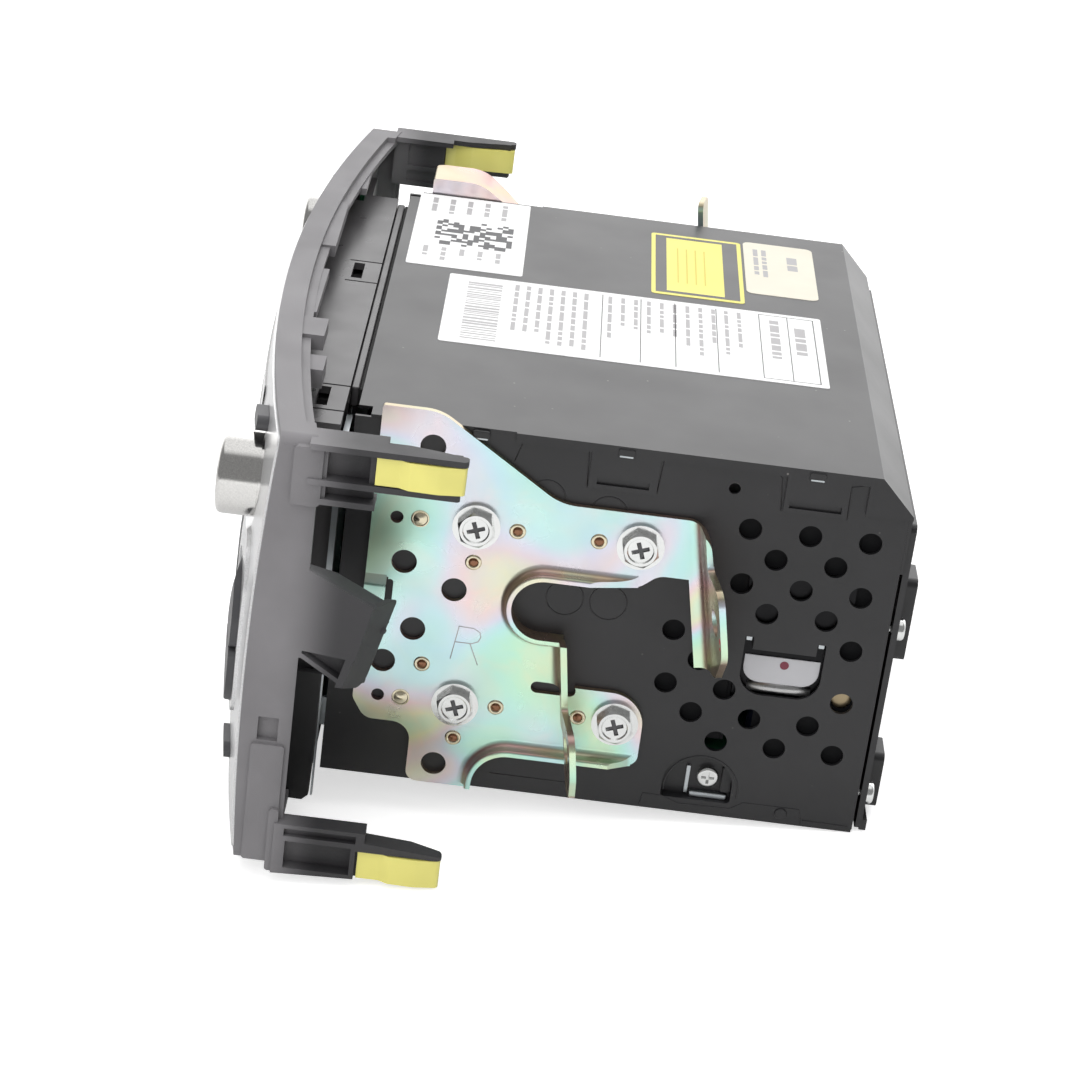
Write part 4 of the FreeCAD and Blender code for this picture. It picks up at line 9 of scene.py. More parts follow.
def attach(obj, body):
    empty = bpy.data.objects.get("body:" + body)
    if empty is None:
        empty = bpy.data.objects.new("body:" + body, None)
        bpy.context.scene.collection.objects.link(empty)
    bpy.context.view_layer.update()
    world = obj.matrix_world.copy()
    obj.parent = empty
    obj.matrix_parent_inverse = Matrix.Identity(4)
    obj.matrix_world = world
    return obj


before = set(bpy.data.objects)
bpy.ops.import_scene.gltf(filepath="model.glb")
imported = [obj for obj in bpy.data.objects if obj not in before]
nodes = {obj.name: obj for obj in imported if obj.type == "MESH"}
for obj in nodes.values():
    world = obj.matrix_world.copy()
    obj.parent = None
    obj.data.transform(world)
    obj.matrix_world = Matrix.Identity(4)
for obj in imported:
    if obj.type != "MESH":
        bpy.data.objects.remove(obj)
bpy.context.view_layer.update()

# Case coordinates in millimetres: X right, Y to the rear, Z up. The frame's origin lies at DATUM in them
DATUM = Vector((0.0, 93.6, 12.0))
MM_PER_METRE = 1000.0
SIDE = 89.0
BRACKET_FACE = 90.6
TOP = 50.0
RIGHT = (1, 0, 0)


def at(x, y, z):
    """A point given in case millimetres, in the frame's metres."""
    return (Vector((x, y, z)) - DATUM) / MM_PER_METRE


# Meshes

BEVEL_SEGMENTS = 2
BEVEL_ANGLE = 35
SPLIT_ANGLE = 38
BOX_SIDES = ((0, 1, 2, 3), (7, 6, 5, 4), (0, 1, 5, 4), (1, 2, 6, 5), (2, 3, 7, 6), (3, 0, 4, 7))


def mesh_object(name, verts, faces, material, smooth=False, body="unit"):
    """A mesh piece from points in case millimetres, riding on a body."""
    mesh = bpy.data.meshes.new(name)
    mesh.from_pydata([at(*v) for v in verts], [], faces)
    mesh.update()
    bm = bmesh.new()
    bm.from_mesh(mesh)
    bmesh.ops.recalc_face_normals(bm, faces=bm.faces)
    bm.to_mesh(mesh)
    bm.free()
    for polygon in mesh.polygons:
        polygon.use_smooth = smooth
    mesh.materials.append(material)
    piece = bpy.data.objects.new(name, mesh)
    bpy.context.scene.collection.objects.link(piece)
    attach(piece, body)
    return piece


def bevel(piece, width):
    """Softens a piece's edges, with the width in millimetres."""
    modifier = piece.modifiers.new("edge", "BEVEL")
    modifier.width = width / MM_PER_METRE
    modifier.segments = BEVEL_SEGMENTS
    modifier.limit_method = "ANGLE"
    modifier.angle_limit = math.radians(BEVEL_ANGLE)


def place(plane, a, b, level):
    """A point of a plane: x, y or z is the fixed axis at the given level."""
    if plane == "x":
        return (level, a, b)
    if plane == "y":
        return (a, level, b)
    return (a, b, level)


def slab(name, outline, plane, low, high, material, soft=0.0):
    """A closed plate: an outline in a plane, from one level to another."""
    count = len(outline)
    verts = [place(plane, a, b, low) for a, b in outline]
    verts += [place(plane, a, b, high) for a, b in outline]
    faces = [tuple(range(count)), tuple(range(2 * count - 1, count - 1, -1))]
    for i in range(count):
        j = (i + 1) % count
        faces.append((i, j, count + j, count + i))
    piece = mesh_object(name, verts, faces, material)
    if soft:
        bevel(piece, soft)


def round_rect(a0, a1, b0, b1, radius, steps=5):
    """Points of a rounded rectangle."""
    points = []
    for ca, cb, start in (
        (a1 - radius, b1 - radius, 0), (a0 + radius, b1 - radius, 90),
        (a0 + radius, b0 + radius, 180), (a1 - radius, b0 + radius, 270),
    ):
        for k in range(steps + 1):
            turn = math.radians(start + 90 * k / steps)
            points.append((ca + radius * math.cos(turn), cb + radius * math.sin(turn)))
    return points


def blocks(name, rects, plane, low, high, material):
    """Many small plates (a0, a1, b0, b1) in one piece."""
    verts, faces = [], []
    for a0, a1, b0, b1 in rects:
        base = len(verts)
        for level in (low, high):
            for a, b in ((a0, b0), (a1, b0), (a1, b1), (a0, b1)):
                verts.append(place(plane, a, b, level))
        for quad in BOX_SIDES:
            faces.append(tuple(base + q for q in quad))
    mesh_object(name, verts, faces, material)


def axes_about(axis):
    """An axis as a unit vector, with two vectors square to it."""
    along = Vector(axis).normalized()
    side = along.orthogonal().normalized()
    return along, side, along.cross(side)


def spoke(side, other, k, count):
    """The direction of the k-th of so many points round an axis."""
    turn = 2 * math.pi * k / count
    return side * math.cos(turn) + other * math.sin(turn)


def skin(rings, count):
    """Faces between rings of points."""
    faces = []
    for index in range(rings - 1):
        a, b = index * count, (index + 1) * count
        for k in range(count):
            j = (k + 1) % count
            faces.append((a + k, a + j, b + j, b + k))
    return faces


def lathe(name, profile, centre, axis, material, count):
    """A turned piece. The profile is (radius, distance along the axis) from a centre."""
    along, side, other = axes_about(axis)
    middle = Vector(centre)
    verts = []
    for radius, distance in profile:
        for k in range(count):
            verts.append(middle + along * distance + spoke(side, other, k, count) * radius)
    faces = skin(len(profile), count)
    last = (len(profile) - 1) * count
    faces.append(tuple(range(count - 1, -1, -1)))
    faces.append(tuple(range(last, last + count)))
    piece = mesh_object(name, verts, faces, material, True)
    modifier = piece.modifiers.new("sharp", "EDGE_SPLIT")
    modifier.split_angle = math.radians(SPLIT_ANGLE)


def ring(name, centre, axis, radius, thick, material, count=48, around=8):
    """A thin round bead on a surface."""
    along, side, other = axes_about(axis)
    middle = Vector(centre)
    verts, faces = [], []
    for k in range(count):
        out = spoke(side, other, k, count)
        for m in range(around):
            bend = 2 * math.pi * m / around
            verts.append(middle + out * (radius + thick * math.cos(bend)) + along * thick * math.sin(bend))
    for k in range(count):
        a, b = k * around, (k + 1) % count * around
        for m in range(around):
            n = (m + 1) % around
            faces.append((a + m, b + m, b + n, a + n))
    mesh_object(name, verts, faces, material, True)


def tube(name, points, radius, material, around=8):
    """A round bead along points, closed at its ends."""
    verts = []
    path = [Vector(p) for p in points]
    for index, point in enumerate(path):
        before = path[max(index - 1, 0)]
        after = path[min(index + 1, len(path) - 1)]
        along = (after - before).normalized()
        side = Vector((1, 0, 0)) if abs(along.x) < 0.9 else Vector((0, 0, 1))
        other = along.cross(side).normalized()
        side = other.cross(along).normalized()
        for m in range(around):
            verts.append(point + spoke(side, other, m, around) * radius)
    faces = skin(len(path), around)
    last = (len(path) - 1) * around
    faces.append(tuple(range(around)))
    faces.append(tuple(range(last + around - 1, last - 1, -1)))
    mesh_object(name, verts, faces, material, True)


# Shader pieces

def material(name, base, rough, metal=0.0, specular=0.5, coat=0.0, coat_rough=0.1):
    """A shader with its numbers on its own sockets."""
    made = bpy.data.materials.new(name)
    made.use_nodes = True
    shader = made.node_tree.nodes["Principled BSDF"]
    shader.inputs["Base Color"].default_value = (*base, 1.0)
    shader.inputs["Roughness"].default_value = rough
    shader.inputs["Metallic"].default_value = metal
    shader.inputs["Specular IOR Level"].default_value = specular
    shader.inputs["Coat Weight"].default_value = coat
    shader.inputs["Coat Roughness"].default_value = coat_rough
    return made


def parts(made):
    """The nodes, links and shader of a material."""
    tree = made.node_tree
    return tree.nodes, tree.links, tree.nodes["Principled BSDF"]


def map_range(found, links, value, stops, kind="SMOOTHSTEP"):
    """A value taken from one range to another, by stops (from, to, low, high)."""
    node = found.new("ShaderNodeMapRange")
    node.interpolation_type = kind
    for key, number in zip(("From Min", "From Max", "To Min", "To Max"), stops):
        node.inputs[key].default_value = number
    links.new(value, node.inputs["Value"])
    return node.outputs["Result"]


def combine(found, links, operation, first, second=None):
    """A sum done on one value, or on a value and a second value or number."""
    node = found.new("ShaderNodeMath")
    node.operation = operation
    links.new(first, node.inputs[0])
    if isinstance(second, float):
        node.inputs[1].default_value = second
    elif second is not None:
        links.new(second, node.inputs[1])
    return node.outputs[0]


def along_axis(found, links, vector, axis):
    """One of the three numbers of a vector."""
    split = found.new("ShaderNodeSeparateXYZ")
    links.new(vector, split.inputs[0])
    return split.outputs[axis]


def coordinates(made, stretch=(1, 1, 1)):
    """Object coordinates, stretched."""
    found, links, _ = parts(made)
    source = found.new("ShaderNodeTexCoord")
    mapping = found.new("ShaderNodeMapping")
    mapping.inputs["Scale"].default_value = stretch
    links.new(source.outputs["Object"], mapping.inputs["Vector"])
    return mapping.outputs["Vector"]


def noise(made, scale, detail=2.0, rough=0.5, twist=0.0, stretch=(1, 1, 1)):
    """A noise texture in object coordinates, with its scale per metre."""
    found, links, _ = parts(made)
    texture = found.new("ShaderNodeTexNoise")
    texture.inputs["Scale"].default_value = scale
    texture.inputs["Detail"].default_value = detail
    texture.inputs["Roughness"].default_value = rough
    texture.inputs["Distortion"].default_value = twist
    links.new(coordinates(made, stretch), texture.inputs["Vector"])
    return texture.outputs["Fac"]


def ramp(made, value, stops):
    """A colour ramp with stops (position, colour)."""
    found, links, _ = parts(made)
    node = found.new("ShaderNodeValToRGB")
    elements = node.color_ramp.elements
    while len(elements) < len(stops):
        elements.new(0.5)
    for element, (position, colour) in zip(elements, stops):
        element.position = position
        element.color = (*colour, 1.0)
    links.new(value, node.inputs["Fac"])
    return node.outputs["Color"]


def blend_colours(made, share, first, second):
    """A mix of two colours by a share."""
    found, links, _ = parts(made)
    node = found.new("ShaderNodeMix")
    node.data_type = "RGBA"
    for socket, value in ((node.inputs[0], share), (node.inputs[6], first), (node.inputs[7], second)):
        if isinstance(value, float):
            socket.default_value = value
        elif isinstance(value, tuple):
            socket.default_value = (*value, 1.0)
        else:
            links.new(value, socket)
    return node.outputs[2]


# Noise stays mostly between such a pair of values, so tints and roughness run from one to the other
NOISE_TINT = (0.32, 0.68)
NOISE_SPREAD = (0.3, 0.7)


def tinted(made, value, low, high):
    """Base colour between two colours by a value."""
    _, links, shader = parts(made)
    stops = tuple(zip(NOISE_TINT, (low, high)))
    links.new(ramp(made, value, stops), shader.inputs["Base Color"])


def roughened(made, value, low, high):
    """Roughness between two numbers by a value."""
    found, links, shader = parts(made)
    rough = map_range(found, links, value, (*NOISE_SPREAD, low, high), "LINEAR")
    links.new(rough, shader.inputs["Roughness"])


def bump(made, heights, distance):
    """A bump from one or more (value, strength) pairs, with its distance in millimetres."""
    found, links, shader = parts(made)
    normal = None
    for value, strength in heights:
        node = found.new("ShaderNodeBump")
        node.inputs["Strength"].default_value = strength
        node.inputs["Distance"].default_value = distance / MM_PER_METRE
        links.new(value, node.inputs["Height"])
        if normal is not None:
            links.new(normal, node.inputs["Normal"])
        normal = node.outputs["Normal"]
    links.new(normal, shader.inputs["Normal"])
    return made


def shaded(base, share):
    """A colour made darker."""
    return tuple(c * share for c in base)


# Materials

DECK_SHADE_FROM = 0.0862
TRIM_SHADE_TURN = (-0.1045, -0.0900)
BEND_FACING = (0.70, 0.98)
CHROMATE_BANDS = (
    (0.28, (0.95, 0.84, 0.52)), (0.36, (0.84, 0.93, 0.58)), (0.43, (0.60, 0.95, 0.70)),
    (0.50, (0.58, 0.92, 0.87)), (0.55, (0.66, 0.86, 0.95)), (0.59, (0.86, 0.74, 0.93)),
    (0.63, (0.97, 0.68, 0.76)), (0.68, (0.95, 0.87, 0.60)), (0.75, (0.62, 0.94, 0.76)),
)
CHROMATE_VEIL = ((0.34, (0.56, 0.92, 0.90)), (0.50, (0.66, 0.95, 0.76)), (0.64, (0.92, 0.90, 0.66)))
# Darker tan and brown colours: painted shade on the bends
CHROMATE_BEND_SHADE = ((0.32, (0.44, 0.50, 0.36)), (0.48, (0.54, 0.43, 0.30)), (0.64, (0.56, 0.37, 0.35)))


def black_enamel(name, dust):
    """Satin black enamel: orange peel, faint clouds and specks of dust."""
    made = material(name, (0.012, 0.012, 0.013), 0.42, coat=0.25, coat_rough=0.35)
    found, links, shader = parts(made)
    clouds = noise(made, 26, 4, 0.6)
    base = ramp(made, clouds, ((0.3, (0.009, 0.009, 0.010)), (0.7, (0.016, 0.0155, 0.017))))
    specks = found.new("ShaderNodeTexVoronoi")
    specks.inputs["Scale"].default_value = 130
    links.new(coordinates(made), specks.inputs["Vector"])
    mask = ramp(made, specks.outputs["Distance"], ((0.0, (dust, dust, dust)), (0.045, (0, 0, 0))))
    links.new(blend_colours(made, mask, base, (0.35, 0.33, 0.31)), shader.inputs["Base Color"])
    roughened(made, noise(made, 40, 3), 0.40, 0.47)
    return bump(made, ((noise(made, 1400, 2), 0.10), (noise(made, 60, 2), 0.03)), 0.05)


def zinc(name, base, rough, stretch, relief=0.08):
    """Metal plate with fine rolling lines."""
    made = material(name, base, rough, metal=1.0)
    tinted(made, noise(made, 30, 4, 0.6), shaded(base, 0.86), base)
    roughened(made, noise(made, 300, 3, stretch=stretch), rough - 0.05, rough + 0.06)
    return bump(made, ((noise(made, 500, 3, stretch=stretch), relief),), 0.03)


def shade_deck_ears(made):
    """Painted shade: near black on the deck's ears, where it meets the case's side walls and shows through
    the side's openings.
    """
    found, links, shader = parts(made)
    place_in = found.new("ShaderNodeTexCoord")
    across = combine(found, links, "ABSOLUTE", along_axis(found, links, place_in.outputs["Object"], "X"))
    # Painted shade on the ears, beyond this distance from the middle
    ear = combine(found, links, "GREATER_THAN", across, DECK_SHADE_FROM)
    bright = shader.inputs["Base Color"].links[0].from_socket
    links.new(blend_colours(made, ear, bright, (0.02, 0.02, 0.021)), shader.inputs["Base Color"])
    return made


def moulded(name, base, rough, grain, depth, specular=0.5, metal=0.0):
    """Moulded or cast stock with a spark-eroded grain."""
    made = material(name, base, rough, metal=metal, specular=specular)
    tinted(made, noise(made, 45, 3), shaded(base, 0.9), base)
    roughened(made, noise(made, 90, 2), rough - 0.04, rough + 0.06)
    return bump(made, ((noise(made, grain, 3, 0.6), 0.35), (noise(made, grain / 6, 2), 0.08)), depth)


def trim_plastic(name):
    """Anthracite trim: grained and paler on the show faces, with painted shade making the arms behind them
    darker.
    """
    made = material(name, (0.2, 0.195, 0.2), 0.5)
    found, links, shader = parts(made)
    place_in = found.new("ShaderNodeTexCoord")
    depth = along_axis(found, links, place_in.outputs["Object"], "Y")
    behind = map_range(found, links, depth, (*TRIM_SHADE_TURN, 0.0, 1.0))
    clouds = noise(made, 45, 3)
    show = ramp(made, clouds, tuple(zip(NOISE_TINT, ((0.172, 0.166, 0.173), (0.212, 0.205, 0.214)))))
    # Painted shade: the arms behind the show faces take a far darker colour of the same plastic
    painted_shade = ramp(made, clouds, tuple(zip(NOISE_TINT, ((0.030, 0.029, 0.031), (0.040, 0.039, 0.042)))))
    links.new(blend_colours(made, behind, show, painted_shade), shader.inputs["Base Color"])
    roughened(made, noise(made, 90, 2), 0.46, 0.58)
    return bump(made, ((noise(made, 2600, 3, 0.6), 0.4), (noise(made, 430, 2), 0.08)), 0.06)


def chromate(name):
    """Yellow chromate over zinc: drifting bands of aqua, lilac, pink and yellow, with painted shade in dark
    tan on the bends.
    """
    made = material(name, (0.8, 0.9, 0.7), 0.34, metal=0.92)
    found, links, shader = parts(made)
    bands = ramp(made, noise(made, 22, 0.7, 0.4, 1.1), CHROMATE_BANDS)
    veil = ramp(made, noise(made, 46, 3, 0.6, 0.8), CHROMATE_VEIL)
    flat = blend_colours(made, 0.28, bands, veil)
    # Painted shade: faces that turn away from the side, such as bends and flanges, take the darker tan
    # colours
    bend_shade = ramp(made, noise(made, 38, 2, 0.5, 0.6), CHROMATE_BEND_SHADE)
    surface = found.new("ShaderNodeNewGeometry")
    sideways = along_axis(found, links, surface.outputs["Normal"], "X")
    size = combine(found, links, "ABSOLUTE", sideways)
    facing = map_range(found, links, size, (*BEND_FACING, 0.0, 1.0))
    links.new(blend_colours(made, facing, bend_shade, flat), shader.inputs["Base Color"])
    roughened(made, noise(made, 70, 3), 0.24, 0.38)
    return bump(made, ((noise(made, 350, 3), 0.02), (noise(made, 45, 2), 0.03)), 0.04)


def lacquer(name, base, rough, metal=0.0, flake=0.0, coat=0.6):
    """Clear coated paint, with metal flake where asked."""
    made = material(name, base, rough, metal=metal, coat=coat, coat_rough=0.12)
    tinted(made, noise(made, 2600 if flake else 60, 2), shaded(base, 1 - 0.12 - flake), base)
    return bump(made, ((noise(made, 220, 2), 0.04),), 0.04)


def printed(name, base):
    """Label stock: slightly uneven and satin."""
    made = material(name, base, 0.5, specular=0.35)
    tinted(made, noise(made, 60, 4, 0.6), shaded(base, 0.94), base)
    return bump(made, ((noise(made, 160, 3), 0.10),), 0.05)


def rubbery(name, base):
    """Soft matt rubber."""
    made = material(name, base, 0.75, specular=0.3)
    tinted(made, noise(made, 120, 3), shaded(base, 0.8), base)
    return bump(made, ((noise(made, 900, 3), 0.2),), 0.05)


ENAMEL = black_enamel("enamel", 0.75)
ENAMEL_CLEAN = black_enamel("enamel_side", 0.2)
# Near black, for the painted shade behind the vents
VENT_SHADE = moulded("vent_shade_black", (0.010, 0.010, 0.011), 0.7, 1500, 0.02, specular=0.2)
STEEL = zinc("bright_steel", (0.62, 0.66, 0.68), 0.34, (1, 1, 14))
# Deck steel with painted shade on its ears
DECK = shade_deck_ears(zinc("deck_steel", (0.60, 0.61, 0.62), 0.36, (14, 1, 1)))
SCREW = zinc("screw_zinc", (0.88, 0.89, 0.88), 0.19, (3, 3, 3), 0.015)
GOLD = zinc("pip_gold", (0.86, 0.78, 0.58), 0.22, (2, 2, 2), 0.02)
BRASS = zinc("vent_brass", (0.40, 0.32, 0.20), 0.32, (2, 2, 2), 0.03)
TIN = zinc("tinned_pins", (0.70, 0.69, 0.66), 0.30, (1, 9, 1))
MOTOR = zinc("motor_can", (0.55, 0.55, 0.55), 0.30, (1, 1, 9))
ROD = zinc("ground_rod", (0.75, 0.75, 0.76), 0.14, (20, 1, 1))
CHROMATE = chromate("chromate")
TRIM = trim_plastic("trim")
NOSE = moulded("nose_plastic", (0.075, 0.072, 0.075), 0.30, 1500, 0.012)
BLACK = moulded("black_plastic", (0.022, 0.022, 0.023), 0.5, 2200, 0.03)
SILVER = lacquer("silver_paint", (0.76, 0.76, 0.765), 0.30, metal=0.4, flake=0.08)
KNOB = lacquer("knob_metal", (0.78, 0.77, 0.75), 0.13, metal=1.0, flake=0.02, coat=0.2)
LENS = lacquer("smoked_lens", (0.010, 0.010, 0.012), 0.10, coat=1.0)
LCD = lacquer("display_glass", (0.035, 0.045, 0.040), 0.14, coat=0.8)
KEY = moulded("key", (0.060, 0.060, 0.064), 0.36, 1800, 0.02)
BOARD = lacquer("solder_mask", (0.02, 0.11, 0.05), 0.30, coat=0.4)
YELLOW = lacquer("yellow_clip", (0.80, 0.74, 0.20), 0.34, coat=0.35)
SINK = moulded("cast_aluminium", (0.50, 0.51, 0.52), 0.45, 900, 0.05, metal=0.9)
CHIP = moulded("epoxy", (0.03, 0.03, 0.032), 0.5, 1500, 0.02)
SLEEVE = lacquer("sleeve", (0.02, 0.025, 0.05), 0.3, coat=0.5)
RUBBER = rubbery("rubber", (0.03, 0.03, 0.03))
ACETAL = moulded("acetal", (0.78, 0.77, 0.71), 0.38, 1200, 0.02)
PAPER = printed("label_white", (0.97, 0.97, 0.97))
PAPER_YELLOW = printed("label_yellow", (0.92, 0.84, 0.24))
PAPER_OCHRE = printed("label_ochre", (0.72, 0.60, 0.12))
PAPER_CREAM = printed("label_cream", (0.84, 0.80, 0.68))
# Black print, also used for painted shade in the screws' cross recesses
INK_AND_SHADE = printed("ink", (0.10, 0.10, 0.105))
INK_GREY = printed("ink_grey", (0.46, 0.45, 0.46))
TAG = printed("tag_grey", (0.50, 0.50, 0.52))
RED = lacquer("red_paint", (0.70, 0.05, 0.08), 0.4, coat=0.2)
DARK_RED = lacquer("dark_red_paint", (0.17, 0.02, 0.04), 0.4, coat=0.2)
BRONZE = zinc("dimple", (0.30, 0.15, 0.09), 0.26, (2, 2, 2), 0.02)

# Nodes that aren't named here are keys
FINISH = {
    "chassis": ENAMEL_CLEAN, "top_cover": ENAMEL, "rear_panel": ENAMEL_CLEAN, "heat_sink": SINK,
    "connector_block": BLACK, "connector_pins": TIN, "antenna_socket": STEEL, "front_plate": STEEL,
    "nose_housing": NOSE, "right_bracket": CHROMATE, "left_bracket": CHROMATE,
    "bracket_screws": SCREW, "case_screws": SCREW, "fascia_frame": TRIM, "silver_panel": SILVER,
    "display_lens": LENS, "lcd_module": LCD, "front_board": BOARD, "fascia_clips": YELLOW,
    "volume_encoder": STEEL, "tune_encoder": STEEL, "volume_shaft": BLACK, "tune_shaft": BLACK,
    "volume_knob": KNOB, "tune_knob": KNOB, "main_board": BOARD, "amplifier_chip": CHIP,
    "capacitors": SLEEVE, "tuner_module": STEEL, "deck_frame": DECK, "deck_carrier": DECK,
    "damper_bushes": RUBBER, "spindle_motor": MOTOR, "turntable": BLACK, "clamp_disc": BLACK,
    "clamp_arm": DECK, "pickup_sled": BLACK, "guide_rods": ROD, "lead_screw": ROD,
    "sled_motor": MOTOR, "loading_roller": RUBBER, "roller_gear": ACETAL, "idler_gear": ACETAL,
    "motor_pinion": ACETAL, "loading_motor": MOTOR,
}
for name, piece in nodes.items():
    piece.data.materials.clear()
    piece.data.materials.append(FINISH.get(name, KEY))


# Camera

AZIMUTH, ELEVATION, ROLL, DISTANCE = 88.93, 24.46, 7.53, 832.32
TARGET = (0.0, 50.16, -18.58)
FOCAL = 2946.57
FRAME_SIZE = 1080.0
SENSOR = 36.0
CLIP_NEAR, CLIP_FAR = 0.01, 50.0


def make_camera():
    """The camera at the photograph's place, found from the case's corners."""
    azimuth, elevation, roll = (math.radians(v) for v in (AZIMUTH, ELEVATION, ROLL))
    back = Vector((
        math.sin(azimuth) * math.cos(elevation), -math.cos(azimuth) * math.cos(elevation),
        math.sin(elevation),
    ))
    right = (-back).cross(Vector((0, 0, 1))).normalized()
    up = right.cross(-back).normalized()
    turned = right * math.cos(roll) + up * math.sin(roll)
    upright = up * math.cos(roll) - right * math.sin(roll)
    place_at = at(*TARGET) + back * DISTANCE / MM_PER_METRE
    matrix = Matrix((
        (turned.x, upright.x, back.x, place_at.x), (turned.y, upright.y, back.y, place_at.y),
        (turned.z, upright.z, back.z, place_at.z), (0, 0, 0, 1),
    ))
    data = bpy.data.cameras.new("camera")
    data.sensor_width = SENSOR
    data.lens = FOCAL / FRAME_SIZE * SENSOR
    data.clip_start, data.clip_end = CLIP_NEAR, CLIP_FAR
    camera = bpy.data.objects.new("camera", data)
    camera.matrix_world = matrix
    bpy.context.scene.collection.objects.link(camera)
    bpy.context.scene.camera = camera


make_camera()


# Labels on the cover, in the cover's X and Y

STOCK = TOP + 0.10
PRINT = STOCK + 0.03
CHECKS, CHECK_SIZE, CHECKS_AT = 14, 1.6, (-66, 9.5)
STRIPES = (-15.0, 29.0, 21.5, 31.0)
STRIPE_WIDTHS, STRIPE_GAPS = (0.5, 0.8, 1.2), (0.6, 0.9, 1.3)
RULE_HEIGHTS = (58.8, 69.5, 79.0, 90.5, 102.5, 110.4)
LAST_RULES = [(-18, 31, 117.6, 117.9), (-18, -17.7, 102.5, 117.9), (30.7, 31, 102.5, 117.9)]
FRAME_RIM = [
    (-76.4, -26.6, 73.7, 76.9), (-76.4, -26.6, 93.4, 97.8),
    (-76.4, -74.6, 76.9, 93.4), (-28.4, -26.6, 76.9, 93.4),
]
FINE_LINES = [(-66, -36, 80.0 + k * 2.6, 80.4 + k * 2.6) for k in range(4)]


def text_rows(a0, a1, b0, b1, rows, seed, high, fill=0.8):
    """Bars that stand for rows of small print."""
    draw = random.Random(seed)
    found = []
    pitch = (b1 - b0) / rows
    for row in range(rows):
        low = b0 + row * pitch
        a = a0
        end = a0 + (a1 - a0) * (fill + (1 - fill) * draw.random())
        while a < end - 1.5:
            long = min(draw.uniform(2.0, 7.0), end - a)
            found.append((a, a + long, low, low + high))
            a += long + 1.1
    return found


def stripes(draw):
    """A row of bars of three widths."""
    a, end, low, high = STRIPES
    found = []
    while a < end:
        wide = draw.choice(STRIPE_WIDTHS)
        found.append((a, a + wide, low, high))
        a += wide + draw.choice(STRIPE_GAPS)
    return found


def checks(draw):
    """A square field with about half its cells filled."""
    a0, b0 = CHECKS_AT
    found = []
    for i in range(CHECKS):
        for j in range(CHECKS):
            if draw.random() < 0.5:
                a, b = a0 + i * CHECK_SIZE, b0 + j * CHECK_SIZE
                found.append((a, a + CHECK_SIZE, b, b + CHECK_SIZE))
    return found


def sticker(name, a0, a1, b0, b1, radius, stock):
    """A label's stock on the cover."""
    slab(name, round_rect(a0, a1, b0, b1, radius), "z", TOP, STOCK, stock)


def print_on(name, rects, ink):
    """Ink on a label's stock."""
    blocks(name, rects, "z", STOCK, PRINT, ink)


def make_labels():
    """Blank-worded labels on the cover: stock, rules and bars."""
    draw = random.Random(29)
    sticker("long_label", -20, 33, 16, 120, 0.8, PAPER)
    rows = text_rows(-17, 28, 34.5, 57, 7, 3, 1.2) + text_rows(-17, 22, 60.5, 100, 11, 5, 1.1, 0.55)
    rows += text_rows(-14, 20, 105.4, 109, 1, 7, 2.6) + text_rows(-10, 16, 112.2, 116, 1, 8, 3.0)
    print_on("long_label_print", rows, INK_GREY)
    print_on("long_label_stripes", stripes(draw), INK_GREY)
    print_on("long_label_rules", [(-18, 31, b, b + 0.25) for b in RULE_HEIGHTS] + LAST_RULES, INK_AND_SHADE)
    sticker("code_label", -88, -24.5, 3, 36, 0.8, PAPER)
    print_on("code_label_checks", checks(draw), INK_AND_SHADE)
    rows = text_rows(-85, -70, 7, 33, 5, 11, 1.5) + text_rows(-41, -28, 7, 33, 5, 13, 1.4, 0.5)
    print_on("code_label_print", rows, INK_GREY)
    sticker("framed_label", -78, -25, 72.5, 99, 1.2, PAPER_YELLOW)
    print_on("framed_label_frame", FRAME_RIM, ENAMEL)
    print_on("framed_label_lines", FINE_LINES, PAPER_OCHRE)
    sticker("small_label", -80, -35, 99.8, 120.5, 2.2, PAPER_CREAM)
    rows = text_rows(-74, -48, 102.6, 107.6, 2, 17, 1.4, 0.7) + text_rows(-70, -56, 112.5, 116.5, 1, 19, 3.0)
    print_on("small_label_print", rows, INK_GREY)


make_labels()


# Small details, placed by Y and Z on the case's sides and on the brackets

CASE_RINGS = ((56.6, 6.9), (67.6, 7.0), (48.7, 33.6), (64.6, 31.2))
CASE_PIPS = ((67.0, 42.8), (114.4, 42.8), (119.6, -47.0))
CASE_PIP = ((1.7, -0.05), (1.5, 0.35), (1.0, 0.5), (0.2, 0.55))
CASE_FOLDS = (
    ((39.8, 42.4), (41.2, 47.2), (42.0, 47.7), (57.0, 47.7), (57.7, 47.0), (58.3, 37.8)),
    ((75.6, 38.6), (76.3, 47.2), (76.9, 47.7), (104.4, 47.7), (105.7, 46.6), (106.6, 38.0)),
    ((123.2, 37.6), (123.0, 46.4), (129.0, 48.0)),
    ((43.5, -45.5), (64.2, -45.6), (64.6, -49.4)),
    (
        (82.8, -49.4), (83.4, -45.8), (88.6, -46.0), (92.6, -47.6), (106.3, -47.4), (109.6, -45.2),
        (124.2, -45.2), (125.2, -49.4),
    ),
    ((125.4, -48.2), (137.4, -48.4)),
)
CASE_RING, CASE_RING_BEAD, CASE_FOLD_BEAD = 4.7, 0.17, 0.14
RECESS_CENTRE, RECESS_RADIUS, RECESS_BEAD = (98.0, -42.6), 9.6, 0.22
COVER_HOOKS = ((30.9, 48.6), (66.9, 48.6), (114.3, 48.6))
VENT_AREAS = (
    (62.0, 101.0, -29.0, 36.0), (101.0, 137.0, 4.0, 36.0), (126.5, 137.0, -48.0, 3.9),
    (108.5, 126.4, -48.0, -18.0), (62.0, 85.0, -48.0, -29.1), (101.1, 101.9, -29.0, 3.9),
)
